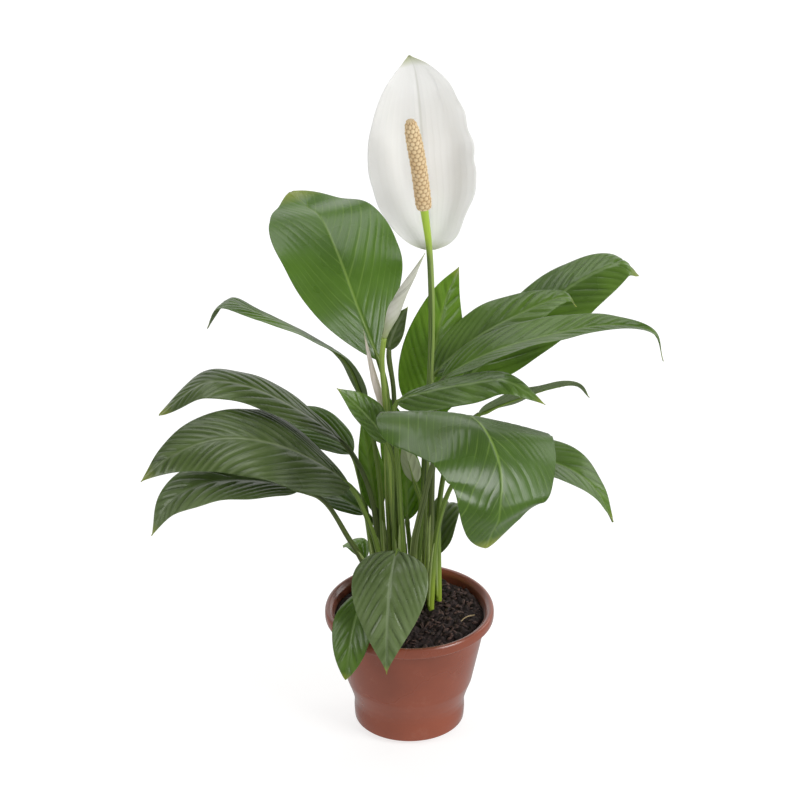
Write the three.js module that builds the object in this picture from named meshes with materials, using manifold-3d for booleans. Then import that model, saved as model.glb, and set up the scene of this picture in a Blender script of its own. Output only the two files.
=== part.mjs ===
// A potted peace lily: a plastic nursery pot, its potting mix, and a plant with arching leaves,
// one open flower and two closed ones. Millimetres, Z up. The origin is the middle of the pot's
// underside, where it stands. +Y points to the back of the plant and -Y to its front.
import * as THREE from 'three';
import { mergeVertices } from 'three/addons/utils/BufferGeometryUtils.js';
import Module from 'manifold-3d';

const wasm = await Module();
wasm.setup();

// ---------- driving dimensions ----------
const gap = 0.3;                  // clearance between pieces that touch
const roundSides = 36;            // sides of the pot and of the potting mix

const potHeight = 116;
const rimRadius = 75;
const rimDrop = 9.5;              // height of the turned-down rim
const bandRadius = 49;            // the straight band low on the pot
const footRadius = 42.5;
const footHeight = 3.5;
const potWall = 1.5;
const floorThickness = 2.5;
const drainHoles = 6;
const drainRadius = 4;
const drainCircle = 26;           // radius of the circle that the drain holes stand on
const footNotches = 8;            // shallow notches in the edge of the foot
const notchWidth = 9;

const soilHeight = 106;           // height of the potting mix at the wall
const soilMound = 4;              // how much higher it is round the crown
const lumpHeight = 1.2;

const bladeThickness = 0.8;
const petioleRadius = 2.1;        // just below the blade
const sheathRadius = 3.4;         // where the petiole leaves the potting mix

const edgeRadius = 0.8;           // half width left at a blade's very base and tip
const ribWidth = 3;               // of the midrib, at most, on each side of its middle
const ribDepth = 1.6;             // how far the midrib stands out below a blade's base
const wavesAlong = 2.5;           // waves along a blade's margin

// ---------- helpers ----------
const smooth = (edge0, edge1, value) => THREE.MathUtils.smoothstep(value, edge0, edge1);
const mix = THREE.MathUtils.lerp;
const radians = THREE.MathUtils.degToRad;
const count = (length, make) => Array.from({ length }, (_, index) => make(index));

function mesh(name, geometry, colour, roughness) {
  geometry.computeVertexNormals();
  const material = new THREE.MeshStandardMaterial({ color: colour, roughness, metalness: 0 });
  const result = new THREE.Mesh(geometry, material);
  result.name = name;
  return result;
}

function geometryFrom(points, triangles) {
  const geometry = new THREE.BufferGeometry();
  const positions = points.flatMap((point) => point.toArray());
  geometry.setAttribute('position', new THREE.Float32BufferAttribute(positions, 3));
  geometry.setIndex(triangles);
  return geometry;
}

function toSolid(geometry) {
  const bare = geometry.clone();
  bare.deleteAttribute('normal');
  bare.deleteAttribute('uv');
  const merged = mergeVertices(bare, 1e-4);
  const vertProperties = new Float32Array(merged.attributes.position.array);
  const triVerts = new Uint32Array(merged.index.array);
  return new wasm.Manifold(new wasm.Mesh({ numProp: 3, vertProperties, triVerts }));
}

function fromSolid(solid) {
  const { vertProperties, triVerts } = solid.getMesh();
  const geometry = new THREE.BufferGeometry();
  geometry.setAttribute('position', new THREE.BufferAttribute(new Float32Array(vertProperties), 3));
  geometry.setIndex(new THREE.BufferAttribute(new Uint32Array(triVerts), 1));
  return geometry;
}

// Takes the cutters out of a geometry.
function cut(geometry, cutters) {
  return fromSolid(cutters.reduce((solid, cutter) => solid.subtract(toSolid(cutter)), toSolid(geometry)));
}

// Revolves [radius, height] points about the Z axis.
function revolve(profile, sides = roundSides) {
  const points = profile.map(([radius, height]) => new THREE.Vector2(radius, height));
  return new THREE.LatheGeometry(points, sides).rotateX(Math.PI / 2);
}

// Closes a sheet: two equal grids of points, an upper and a lower face, joined round the edge.
// Both faces split each quad along the same diagonal, so a waved sheet never crosses itself.
function closeSheet({ upper, lower }) {
  const rows = upper.length;
  const columns = upper[0].length;
  const triangles = [];
  const up = (row, column) => row * columns + column;
  const down = (row, column) => rows * columns + up(row, column);
  const quad = (a, b, c, d) => triangles.push(a, b, c, a, c, d);
  for (let row = 0; row < rows - 1; row += 1) {
    for (let column = 0; column < columns - 1; column += 1) {
      quad(up(row, column), up(row, column + 1), up(row + 1, column + 1), up(row + 1, column));
      quad(down(row + 1, column + 1), down(row, column + 1), down(row, column), down(row + 1, column));
    }
    quad(up(row, 0), up(row + 1, 0), down(row + 1, 0), down(row, 0));
    quad(down(row, columns - 1), down(row + 1, columns - 1), up(row + 1, columns - 1), up(row, columns - 1));
  }
  for (let column = 0; column < columns - 1; column += 1) {
    quad(down(0, column), down(0, column + 1), up(0, column + 1), up(0, column));
    quad(up(rows - 1, column), up(rows - 1, column + 1), down(rows - 1, column + 1), down(rows - 1, column));
  }
  return geometryFrom([...upper.flat(), ...lower.flat()], triangles);
}

// Closes a round body: rings with equal point counts, capped at both ends. Where crossed says so,
// a quad is split along its other diagonal.
function closeRings(rings, crossed = () => false) {
  const sides = rings[0].length;
  const end = rings.length - 1;
  const at = (ring, index) => ring * sides + (index % sides);
  const triangles = [];
  for (let ring = 0; ring < end; ring += 1) {
    for (let index = 0; index < sides; index += 1) {
      const [a, b] = [at(ring, index), at(ring, index + 1)];
      const [c, d] = [at(ring + 1, index + 1), at(ring + 1, index)];
      triangles.push(...(crossed(ring, index) ? [a, d, b, b, d, c] : [a, c, b, a, d, c]));
    }
  }
  for (let index = 1; index < sides - 1; index += 1) {
    triangles.push(at(0, 0), at(0, index), at(0, index + 1));
    triangles.push(at(end, 0), at(end, index + 1), at(end, index));
  }
  return geometryFrom(rings.flat(), triangles);
}

// A smooth curve through a few points, with a side and an upward direction at every place on it.
// The side direction is level and square to the azimuth that the piece grows out in.
class Spine {
  constructor(points, azimuth = 90) {
    const places = points.map((point) => new THREE.Vector3(...point));
    this.curve = new THREE.CatmullRomCurve3(places, false, 'centripetal');
    this.spans = points.length - 1;
    this.azimuth = azimuth;
  }

  // The share of the whole length at which a numbered point of the curve lies.
  shareAt(number) {
    const lengths = this.curve.getLengths(this.spans * 50);
    return lengths[number * 50] / lengths[this.spans * 50];
  }

  // A function that turns (across, above) distances at a place into a point.
  frame(share, { roll = 0, twist = 0, shift = 0 } = {}) {
    const angle = radians(this.azimuth + twist);
    const tangent = this.curve.getTangentAt(share);
    const origin = this.curve.getPointAt(share).addScaledVector(tangent, shift);
    const side = new THREE.Vector3(Math.sin(angle), -Math.cos(angle), 0);
    side.projectOnPlane(tangent).normalize();
    const up = new THREE.Vector3().crossVectors(side, tangent);
    side.applyAxisAngle(tangent, -radians(roll));
    up.applyAxisAngle(tangent, -radians(roll));
    return (across, above) => origin.clone().addScaledVector(side, across).addScaledVector(up, above);
  }
}

// ---------- leaves ----------
// petiole: points from its lower end in the potting mix to just below the blade
// blade:   points from the blade's base to its tip
// azimuth: degrees that it grows out in, from +X towards +Y; twist: degrees added by its tip
// width:   full width of the blade
// roll:    degrees about the midrib at the blade's base and at its tip
// fold:    degrees that the left and the right half rise from the midrib, looking out along it
// droop:   how far the margins bend down again, as a share of the half width
// wave:    height of the margin's waves, as a share of the half width
// shoulder, taper: how full the blade is at its base and how drawn-out at its tip
// columns: points across the blade on each face
const plainLeaf = {
  twist: 0, roll: [0, 0], fold: [12, 12], droop: 0.1, wave: 0.03, shoulder: 0.7, taper: 1.15,
  columns: 7, colour: 0x4f6f26,
};

const leaves = [
  {
    name: 'leaf_tall_back_left', width: 115, azimuth: 118, roll: [3, -5], fold: [5, 5], droop: 0.02,
    shoulder: 0.95, taper: 0.72,
    petiole: [[-11, 31, 93], [-12, 32, 116], [-17, 38, 230], [-20, 40, 312]],
    blade: [
      [-27, 42, 340], [-46, 64, 384], [-63, 102, 415],
      [-79, 142, 431], [-92, 164, 431], [-105, 180, 437],
    ],
  },
  {
    name: 'leaf_left_twisted', width: 46, azimuth: 165, roll: [-46, 0], fold: [4, -2],
    shoulder: 0.6, taper: 0.6,
    petiole: [[-20, 25, 93], [-21, 26, 116], [-26, 31, 220], [-33, 35, 274]],
    blade: [
      [-38, 38, 298], [-54, 42, 340], [-91, 50, 363],
      [-128, 55, 379], [-161, 60, 388], [-177, 62, 362],
    ],
  },
  {
    name: 'leaf_left_upper', width: 50, azimuth: 177, roll: [2, 16], fold: [4, -6], taper: 0.75,
    petiole: [[-25, 17, 93], [-26, 17, 116], [-32, 16, 210], [-44, 19, 248]],
    blade: [[-58, 22, 269], [-83, 25, 291], [-141, 28, 323], [-178, 28, 326], [-219, 24, 296]],
  },
  {
    name: 'leaf_left_behind', width: 52, azimuth: 150, roll: [0, 10],
    petiole: [[-28, 28, 93], [-29, 29, 116], [-38, 37, 188], [-45, 46, 224]],
    blade: [[-51, 54, 240], [-77, 64, 257], [-110, 74, 264], [-142, 90, 260]],
  },
  {
    name: 'leaf_left_ribbed', width: 94, azimuth: 190, roll: [0, 20], fold: [-2, 8], droop: 0.15,
    petiole: [[-22, 8, 93], [-23, 8, 116], [-28, 6, 170], [-39, 4, 208]],
    blade: [
      [-52, 2, 237], [-86, -12, 273], [-127, -26, 298],
      [-168, -34, 304], [-206, -41, 291], [-232, -44, 268],
    ],
  },
  {
    name: 'leaf_left_low', width: 66, azimuth: 200, roll: [6, 16], fold: [12, 4],
    petiole: [[-30, 3, 93], [-31, 3, 116], [-39, 1, 155], [-54, -6, 190], [-76, -18, 235]],
    blade: [[-96, -24, 249], [-135, -34, 264], [-178, -44, 266], [-208, -50, 250], [-224, -54, 220]],
  },
  {
    name: 'leaf_back_left_low', width: 40, azimuth: 148, columns: 5,
    petiole: [[-13, 43, 93], [-14, 44, 116], [-24, 45, 160]],
    blade: [[-39, 46, 184], [-62, 53, 197], [-87, 61, 201], [-111, 70, 191]],
  },
  {
    name: 'leaf_small_center', width: 36, azimuth: 180, roll: [30, 30], columns: 5, fold: [20, 20],
    petiole: [[-12, 6, 93], [-12, 6, 116], [-13, 6, 200], [-14, 6, 260]],
    blade: [[-20, 1, 283], [-38, -3, 311], [-62, -6, 339]],
  },
  {
    name: 'leaf_inner_left', width: 30, azimuth: 130, columns: 5,
    petiole: [[-19, 35, 93], [-20, 36, 116], [-24, 40, 160]],
    blade: [[-28, 43, 186], [-34, 47, 224], [-42, 56, 278]],
  },
  {
    name: 'leaf_inner_back', width: 32, azimuth: 100, columns: 5,
    petiole: [[-4, 40, 93], [-4, 42, 116], [-7, 50, 180]],
    blade: [[-9, 55, 207], [-11, 66, 243], [-22, 86, 287]],
  },
  {
    name: 'leaf_inner_right', width: 34, azimuth: 80, columns: 5,
    petiole: [[4, 44, 93], [4, 46, 116], [0, 56, 150]],
    blade: [[-2, 60, 169], [-3, 68, 200], [-6, 84, 253]],
  },
  {
    name: 'leaf_upright_back', width: 60, azimuth: 80, fold: [5, 15], droop: 0.05,
    shoulder: 0.45, taper: 1,
    petiole: [[6, 34, 93], [6, 35, 116], [14, 46, 210], [17, 54, 252]],
    blade: [[18, 60, 276], [20, 72, 318], [32, 92, 376], [43, 98, 403]],
  },
  {
    name: 'leaf_right_back', width: 63, azimuth: 32, roll: [-28, -24], fold: [-16, -8], droop: 0.12,
    shoulder: 0.8, taper: 0.75,
    petiole: [[14, 38, 93], [14, 39, 116], [19, 54, 210], [28, 66, 262]],
    blade: [
      [38, 72, 289], [73, 88, 322], [107, 104, 349],
      [150, 121, 378], [190, 134, 389], [204, 140, 374],
    ],
  },
  {
    name: 'leaf_right_upper', width: 58, azimuth: 15, roll: [-12, -12], fold: [12, 6],
    petiole: [[13, 27, 93], [13, 28, 116], [13, 34, 256], [16, 37, 306]],
    blade: [[21, 40, 326], [46, 48, 350], [86, 57, 373], [137, 65, 391], [146, 68, 380]],
  },
  {
    name: 'leaf_right_long', width: 52, azimuth: 356, fold: [20, 12], droop: 0.05, shoulder: 0.6,
    taper: 1.5,
    petiole: [[18, 10, 93], [18, 11, 116], [20, 17, 240], [22, 18, 308]],
    blade: [[27, 18, 332], [66, 15, 361], [127, 12, 383], [175, 8, 393], [210, 5, 387], [219, 4, 360]],
  },
  {
    name: 'leaf_right_glossy', width: 47, azimuth: 345, roll: [-4, -10], fold: [-6, -14],
    petiole: [[-4, 3, 93], [-4, 3, 116], [-10, 0, 254], [-13, -4, 302]],
    blade: [[-11, -8, 326], [17, -20, 344], [51, -29, 356], [80, -36, 363], [116, -44, 344]],
  },
  {
    name: 'leaf_right_thin', width: 34, azimuth: 0, columns: 5, roll: [44, 42],
    petiole: [[26, 16, 93], [26, 17, 116], [27, 30, 210], [40, 30, 268]],
    blade: [[60, 28, 294], [89, 28, 309], [144, 28, 324], [157, 28, 312]],
  },
  {
    name: 'leaf_front_right_large', width: 148, azimuth: 290, twist: -11, roll: [10, 14], fold: [-7, 7],
    droop: 0.08, wave: 0.01, shoulder: 0.17, taper: 0.72,
    petiole: [[6, -6, 93], [6, -6, 116], [4, -12, 182], [12, -22, 236], [26, -36, 300]],
    blade: [
      [42, -46, 329], [48, -64, 345], [62, -98, 351], [73, -122, 338],
      [77, -138, 320], [75, -146, 303], [70, -145, 281], [65, -137, 256],
    ],
  },
  {
    name: 'leaf_right_low', width: 62, azimuth: 346,
    petiole: [[19, 0, 93], [19, 0, 116], [26, -4, 205], [42, -16, 256]],
    blade: [[62, -20, 270], [100, -28, 284], [142, -38, 275], [162, -44, 258], [176, -48, 230]],
  },
  {
    name: 'leaf_small_right', width: 34, azimuth: 50, columns: 5,
    petiole: [[25, 27, 93], [25, 28, 116], [24, 38, 130]],
    blade: [[24, 44, 142], [28, 56, 166], [35, 72, 180], [37, 90, 164]],
  },
  {
    name: 'leaf_small_left', width: 26, azimuth: 150, columns: 5,
    petiole: [[-34, 22, 93], [-35, 23, 116], [-38, 34, 130]],
    blade: [[-41, 44, 138], [-48, 54, 147], [-60, 66, 140]],
  },
  {
    name: 'leaf_front_low', width: 68, azimuth: 265, droop: 0.2, shoulder: 0.64, taper: 1.4,
    petiole: [[-6, -6, 93], [-6, -6, 116], [-8, -12, 160], [-9, -24, 184]],
    blade: [[-11, -34, 192], [-16, -62, 185], [-19, -80, 160], [-20, -88, 130], [-20, -90, 101]],
  },
  {
    name: 'leaf_front_left_low', width: 40, azimuth: 240, droop: 0.2, taper: 0.85,
    petiole: [[-18, -3, 93], [-19, -4, 116], [-29, -16, 140]],
    blade: [[-36, -28, 147], [-45, -48, 141], [-52, -68, 120], [-56, -80, 89]],
  },
  {
    name: 'leaf_bud_side', width: 20, azimuth: 60, columns: 5,
    petiole: [[-4, 23, 93], [-5, 23, 116], [-11, 24, 211], [-14, 26, 320]],
    blade: [[-18, 28, 358], [-12, 28, 380], [-2, 26, 401]],
  },
  {
    name: 'leaf_young_pale', width: 18, azimuth: 250, columns: 5, colour: 0x9aa57c,
    petiole: [[4, 8, 93], [4, 8, 116], [9, 14, 176], [10, 16, 212]],
    blade: [[5, 16, 232], [-1, 16, 256], [-5, 18, 276]],
  },
];

// One row of a petiole: an upper and a lower arc that leave a narrow edge between them.
function petioleRow(columns, radius, flatness) {
  const edge = radians(15);
  const arc = (sign) => count(columns, (column) => {
    const angle = Math.PI - edge - ((Math.PI - 2 * edge) * column) / (columns - 1);
    return [radius * Math.cos(angle), sign * radius * flatness * Math.sin(angle)];
  });
  return [arc(1), arc(-1)];
}

// The share of its greatest width that a blade has between its base (0) and its tip (1).
function bladeOutline(share, shoulder, taper) {
  const widest = shoulder / (shoulder + taper);
  return (share / widest) ** shoulder * ((1 - share) / (1 - widest)) ** taper;
}

// One row of a blade: its upper and its lower face, with the midrib standing out below.
function bladeRow(leaf, share) {
  const inside = THREE.MathUtils.clamp(share, 0.002, 0.99);
  const half = Math.max((leaf.width / 2) * bladeOutline(inside, leaf.shoulder, leaf.taper), edgeRadius);
  const middle = (leaf.columns - 1) / 2;
  const ribStep = Math.min(ribWidth, half * 0.3);
  const places = count(leaf.columns, (column) => {
    const step = column - middle;
    if (leaf.columns > 5 && Math.abs(step) === 1) return step * ribStep;
    return (half * step) / middle;
  });
  const upper = places.map((across) => {
    const side = Math.abs(across) / half;
    const fold = radians(across < 0 ? leaf.fold[0] : leaf.fold[1]);
    const turn = 2 * Math.PI * wavesAlong * share + (across < 0 ? 0 : 1.9);
    const wave = half * leaf.wave * side ** 2 * Math.sin(turn) * smooth(0, 0.2, share);
    return [across * Math.cos(fold), half * (side * Math.sin(fold) - leaf.droop * side ** 2) + wave];
  });
  const lower = upper.map(([across, above], column) => {
    const rib = column === middle ? ribDepth * (1 - share) : 0;
    return [across, above - bladeThickness - rib];
  });
  return [upper, lower];
}

// The rows of a whole leaf: a petiole that opens into the blade.
function leafRows(leaf) {
  const spine = new Spine([...leaf.petiole, ...leaf.blade], leaf.azimuth);
  const soilShare = spine.shareAt(1);
  const jointShare = spine.shareAt(leaf.petiole.length);
  const small = leaf.columns < 7;
  const petioleSteps = small ? 3 : 4;
  const bladeSteps = small ? 8 : 11;
  const sheet = { upper: [], lower: [] };
  const addRow = (frame, [upper, lower]) => {
    sheet.upper.push(upper.map((place) => frame(...place)));
    sheet.lower.push(lower.map((place) => frame(...place)));
  };

  for (let step = -1; step <= petioleSteps; step += 1) {
    const share = Math.max(step, 0) / petioleSteps;
    const place = step < 0 ? 0 : mix(soilShare, jointShare, share);
    const radius = mix(sheathRadius, petioleRadius, smooth(0, 0.9, share));
    const frame = spine.frame(place, { roll: leaf.roll[0] * smooth(0.4, 1, share) });
    addRow(frame, petioleRow(leaf.columns, radius, mix(0.8, 1, share)));
  }
  for (let step = 1; step <= bladeSteps; step += 1) {
    const share = step / bladeSteps;
    const turn = { roll: mix(leaf.roll[0], leaf.roll[1], share), twist: leaf.twist * share };
    const frame = spine.frame(mix(jointShare, 1, share), turn);
    addRow(frame, bladeRow(leaf, share));
  }
  return sheet;
}

// The plain hole that a leaf's or a flower stem's lower end stands in.
const holeSides = 8;
function plantingHole(points, azimuth, radius) {
  const spine = new Spine(points, azimuth);
  const holeRadius = (radius + gap) / Math.cos(Math.PI / holeSides);
  return closeRings([
    ringAt(spine, 0, holeRadius, holeSides, -gap),
    ringAt(spine, spine.shareAt(1), holeRadius, holeSides),
  ]);
}

// ---------- flowers ----------
const stemSides = 10;
const flowerStem = {
  path: [
    [9, 16, 93], [9, 16, 116], [13, 22, 212], [17, 26, 310],
    [19, 29, 378], [17, 32, 449], [12, 26, 496],
  ],
  radii: [[0, 3.3], [0.2, 3.2], [0.6, 2.8], [0.9, 2.7], [1, 3.6]],
};
const budStem = {
  path: [[-7, 14, 93], [-7, 14, 116], [-16, 17, 220], [-22, 18, 322], [-24, 18, 354], [-22, 17, 376]],
  radii: [[0, 3], [0.3, 2.4], [1, 2.3]],
};
const youngStem = {
  path: [[-15, 16, 93], [-15, 16, 116], [-20, 23, 220], [-21, 24, 291]],
  radii: [[0, 2.6], [0.5, 1.9], [1, 2]],
};

function radiusAt(radii, share) {
  const next = Math.max(1, radii.findIndex(([place]) => place >= share));
  const [[from, start], [to, end]] = [radii[next - 1], radii[next]];
  return mix(start, end, (share - from) / (to - from));
}

function ringAt(spine, share, radius, sides = stemSides, shift = 0) {
  const frame = spine.frame(share, { shift });
  return count(sides, (index) => {
    const angle = (2 * Math.PI * index) / sides;
    return frame(radius * Math.cos(angle), radius * Math.sin(angle));
  });
}

function stemGeometry({ path, radii }, steps) {
  const spine = new Spine(path);
  const soilShare = spine.shareAt(1);
  const shares = [0, ...count(steps + 1, (step) => mix(soilShare, 1, step / steps))];
  return closeRings(shares.map((share) => ringAt(spine, share, radiusAt(radii, share))));
}

// A closed flower: a slender spindle, rolled to a point.
function budGeometry(path, greatestRadius, startRadius, fullest, steps) {
  const spine = new Spine(path);
  return closeRings(count(steps + 1, (step) => {
    const share = step / steps;
    const swell = share < fullest
      ? mix(startRadius, greatestRadius, smooth(0, fullest, share))
      : greatestRadius * (1 - ((share - fullest) / (1 - fullest)) ** 1.3);
    return ringAt(spine, share, Math.max(swell, 0.4));
  }));
}

// The open flower's white bract: a broad cupped sheet behind the spadix.
function spatheGeometry() {
  const spathe = {
    width: 92, fold: [-4, -2], droop: -0.26, wave: 0.03, shoulder: 0.45, taper: 0.8, columns: 9,
  };
  const path = [
    [17, 34.3, 452], [16, 42, 482], [11, 47, 527], [9, 47, 568],
    [6, 42, 602], [3, 36, 622], [-1, 33, 633],
  ];
  const spine = new Spine(path, 80);
  const steps = 13;
  const rows = count(steps + 1, (step) => {
    const frame = spine.frame(step / steps);
    return bladeRow(spathe, step / steps).map((face) => face.map((place) => frame(...place)));
  });
  return closeSheet({ upper: rows.map((row) => row[0]), lower: rows.map((row) => row[1]) });
}

// The spadix: a blunt finger covered in florets. Every second point of each row stands out, and
// the rows alternate, so each raised point is a floret and the low ones are the gaps between.
function spadixGeometry() {
  const spine = new Spine([[11.96, 25.95, 496.4], [7, 20, 540], [0, 14, 583]]);
  const bodyRadius = 6.5;
  const floretRows = 31;
  const floretsAround = 10;
  const floretHeight = 0.8;
  const isFloret = (row, index) => (row + index) % 2 === 0;
  const rows = count(floretRows + 1, (row) => {
    const share = row / floretRows;
    const body = bodyRadius * Math.sqrt(Math.max(1 - (Math.abs(share - 0.4) / 0.62) ** 6, 0.06));
    const frame = spine.frame(share);
    const inner = row > 0 && row < floretRows;
    return count(floretsAround * 2, (index) => {
      const angle = (Math.PI * index) / floretsAround;
      const radius = body + (inner && isFloret(row, index) ? floretHeight : 0);
      return frame(radius * Math.cos(angle), radius * Math.sin(angle));
    });
  });
  return closeRings(rows, isFloret);
}

// ---------- pot ----------
// The outside of the wall from the foot up to the rim, as [radius, height].
const wall = [
  [bandRadius - 0.3, footHeight + 0.6], [bandRadius + 0.3, 13], [bandRadius, 22], [50.2, 28.5], [53, 37],
  [56, 45], [64.4, 86], [68.9, potHeight - 3.2],
];

function potGeometry() {
  const rimInside = rimRadius - potWall - 0.3;
  const rimTop = potHeight;
  const rimBottom = potHeight - rimDrop;
  const profile = [
    [0, 0], [footRadius, 0], [footRadius + 0.5, footHeight], ...wall,
    [rimInside, rimTop - 3.2], [rimInside, rimBottom + 0.3], [rimRadius - 0.6, rimBottom],
    [rimRadius, rimBottom + 1.1], [rimRadius, rimTop - 3.2], [rimRadius - 0.8, rimTop - 0.9],
    [rimRadius - 1.8, rimTop], [rimRadius - 3.8, rimTop], [rimRadius - 5, rimTop - 0.9],
    ...wall.slice().reverse().map(([radius, height]) => [radius - potWall, height]),
    [39.5, footHeight + 0.6], [39.2, floorThickness], [0, floorThickness],
  ];
  const holes = count(drainHoles, (index) => {
    const hole = new THREE.CylinderGeometry(drainRadius, drainRadius, 8, 12).rotateX(Math.PI / 2);
    const angle = (2 * Math.PI * index) / drainHoles;
    return hole.translate(drainCircle * Math.cos(angle), drainCircle * Math.sin(angle), 1);
  });
  const notches = count(footNotches, (index) => {
    const notch = new THREE.BoxGeometry(3, notchWidth, 2 * footHeight);
    notch.translate(footRadius + 0.3, 0, -0.4);
    return notch.rotateZ((2 * Math.PI * (index + 0.5)) / footNotches);
  });
  return cut(revolve(profile), [...holes, ...notches]);
}

// ---------- potting mix ----------
function soilSurface(x, y) {
  const distance = Math.hypot(x, y) / rimRadius;
  const lumps = Math.sin(0.37 * x + 0.9) * Math.cos(0.33 * y) + 0.7 * Math.sin(0.81 * x - 0.47 * y + 2)
    + 0.6 * Math.cos(0.29 * x + 0.88 * y - 1);
  return soilHeight + soilMound * (1 - distance ** 2) + lumpHeight * lumps * 0.6;
}

function soilGeometry(holes) {
  const surfaceRings = 7;
  const topRadius = 65.3;
  const inside = (radius) => radius - potWall - gap;
  const insideWall = wall.filter(([, height]) => height < soilHeight - 6);
  const profile = [
    [0, floorThickness + gap], [39, floorThickness + gap], [39.2, footHeight + 0.9],
    ...insideWall.map(([radius, height], index) => [inside(radius), index === 0 ? height + gap : height]),
    ...count(surfaceRings + 1, (ring) => [topRadius * (1 - ring / surfaceRings), soilHeight]),
  ];
  const soil = revolve(profile);
  const position = soil.attributes.position;
  for (let index = 0; index < position.count; index += 1) {
    if (position.getZ(index) > soilHeight - 0.01) {
      position.setZ(index, soilSurface(position.getX(index), position.getY(index)));
    }
  }
  return cut(soil, holes);
}

// ---------- the whole plant ----------
const plant = new THREE.Group();
const allLeaves = leaves.map((leaf) => ({ ...plainLeaf, ...leaf }));
const holes = [
  ...allLeaves.map((leaf) => plantingHole([...leaf.petiole, ...leaf.blade], leaf.azimuth, sheathRadius)),
  ...[flowerStem, budStem, youngStem].map(({ path, radii }) => plantingHole(path, 90, radii[0][1])),
];

plant.add(mesh('pot', potGeometry(), 0x9b6255, 0.38));
plant.add(mesh('potting_mix', soilGeometry(holes), 0x392c27, 0.95));
for (const leaf of allLeaves) {
  plant.add(mesh(leaf.name, closeSheet(leafRows(leaf)), leaf.colour, 0.42));
}
plant.add(mesh('flower_stem', stemGeometry(flowerStem, 11), 0x5a7a2c, 0.5));
plant.add(mesh('flower_spathe', spatheGeometry(), 0xe4e3de, 0.5));
plant.add(mesh('flower_spadix', spadixGeometry(), 0xd6ba93, 0.75));
plant.add(mesh('bud_stem', stemGeometry(budStem, 8), 0x7f9a3c, 0.5));
const budPath = [[-21.8, 16.9, 376.8], [-16, 16, 395], [-7, 14, 420], [4, 12, 442], [13, 10, 461]];
plant.add(mesh('bud_spathe', budGeometry(budPath, 5.6, 2.4, 0.3, 10), 0xd2d3c2, 0.5));
plant.add(mesh('young_stem', stemGeometry(youngStem, 6), 0x6d8a35, 0.5));
const youngPath = [[-21.1, 24, 291.8], [-27, 24, 318], [-33, 24, 343], [-40, 24, 380]];
plant.add(mesh('young_spathe', budGeometry(youngPath, 3.3, 2, 0.35, 8), 0xb9bfa0, 0.5));

export default plant;
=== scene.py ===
import math
import bmesh
import bpy
import numpy as np
from mathutils import Matrix, Vector


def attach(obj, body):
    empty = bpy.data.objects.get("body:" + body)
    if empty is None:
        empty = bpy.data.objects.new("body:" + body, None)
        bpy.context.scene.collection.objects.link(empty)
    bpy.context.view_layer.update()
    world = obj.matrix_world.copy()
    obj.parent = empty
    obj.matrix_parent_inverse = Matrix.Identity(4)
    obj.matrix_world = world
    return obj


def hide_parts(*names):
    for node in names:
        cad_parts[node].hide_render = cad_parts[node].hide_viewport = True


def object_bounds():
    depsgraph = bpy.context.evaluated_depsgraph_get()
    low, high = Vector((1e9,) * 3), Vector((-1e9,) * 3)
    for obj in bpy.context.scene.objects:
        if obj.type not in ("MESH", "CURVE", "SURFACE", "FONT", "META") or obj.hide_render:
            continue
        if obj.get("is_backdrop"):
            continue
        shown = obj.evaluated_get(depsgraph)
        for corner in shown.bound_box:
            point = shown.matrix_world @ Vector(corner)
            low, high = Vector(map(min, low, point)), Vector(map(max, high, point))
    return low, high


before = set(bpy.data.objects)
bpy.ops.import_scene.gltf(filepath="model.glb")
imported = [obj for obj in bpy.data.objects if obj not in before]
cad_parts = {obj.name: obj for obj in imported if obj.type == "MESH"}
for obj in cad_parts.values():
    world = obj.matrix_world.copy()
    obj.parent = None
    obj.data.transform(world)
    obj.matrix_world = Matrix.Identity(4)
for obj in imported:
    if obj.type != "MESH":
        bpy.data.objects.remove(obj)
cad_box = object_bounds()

MM = 0.001
scene = bpy.context.scene


# ---------- camera and light ----------
CAMERA_PLACE = (-0.0084, -3.2, 2.069)
CAMERA_TARGET = (-0.0084, 0, 0.324)
CAMERA_LENS = 189.9
PLANT_MIDDLE = (0, 0, 0.3)
SURROUND_STRENGTH = 0.29

# The key on the right, one overhead, a bright backdrop behind the plant for the sheen on its
# leaves, a weaker one on the left and one at the back right: place and size in metres, power in
# watts.
PANELS = [
    ("key_panel", (2.3, -1.5, 1.7), (1.5, 1.9), 66),
    ("overhead_panel", (-0.3, 1.1, 2.9), (2.4, 1.4), 27),
    ("backdrop_panel", (0, 3.0, 1.2), (5.5, 2.3), 31),
    ("left_panel", (-2.7, -1.1, 1.3), (1.2, 2.0), 24),
    ("edge_panel", (2.6, 1.4, 1.3), (1.2, 1.8), 14),
]


def look_from(thing, place, target):
    """Puts a camera or light at a place, turned so that its -Z axis points to the target."""
    thing.location = place
    away = thing.location - Vector(target)
    thing.rotation_mode = "QUATERNION"
    thing.rotation_quaternion = away.to_track_quat("Z", "Y")


def add_camera():
    """A long lens 3.64 m from its target, looking down at 28.6 degrees."""
    data = bpy.data.cameras.new("front_camera")
    data.sensor_width = 36
    data.lens = CAMERA_LENS
    data.clip_end = 30
    camera = bpy.data.objects.new("front_camera", data)
    scene.collection.objects.link(camera)
    look_from(camera, CAMERA_PLACE, CAMERA_TARGET)
    scene.camera = camera


def add_panel(name, place, size, power):
    """A rectangular soft light, turned to the plant's middle and not seen by the camera."""
    data = bpy.data.lights.new(name, "AREA")
    data.shape = "RECTANGLE"
    data.size, data.size_y = size
    data.energy = power
    light = bpy.data.objects.new(name, data)
    light.visible_camera = False
    scene.collection.objects.link(light)
    look_from(light, place, PLANT_MIDDLE)


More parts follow.
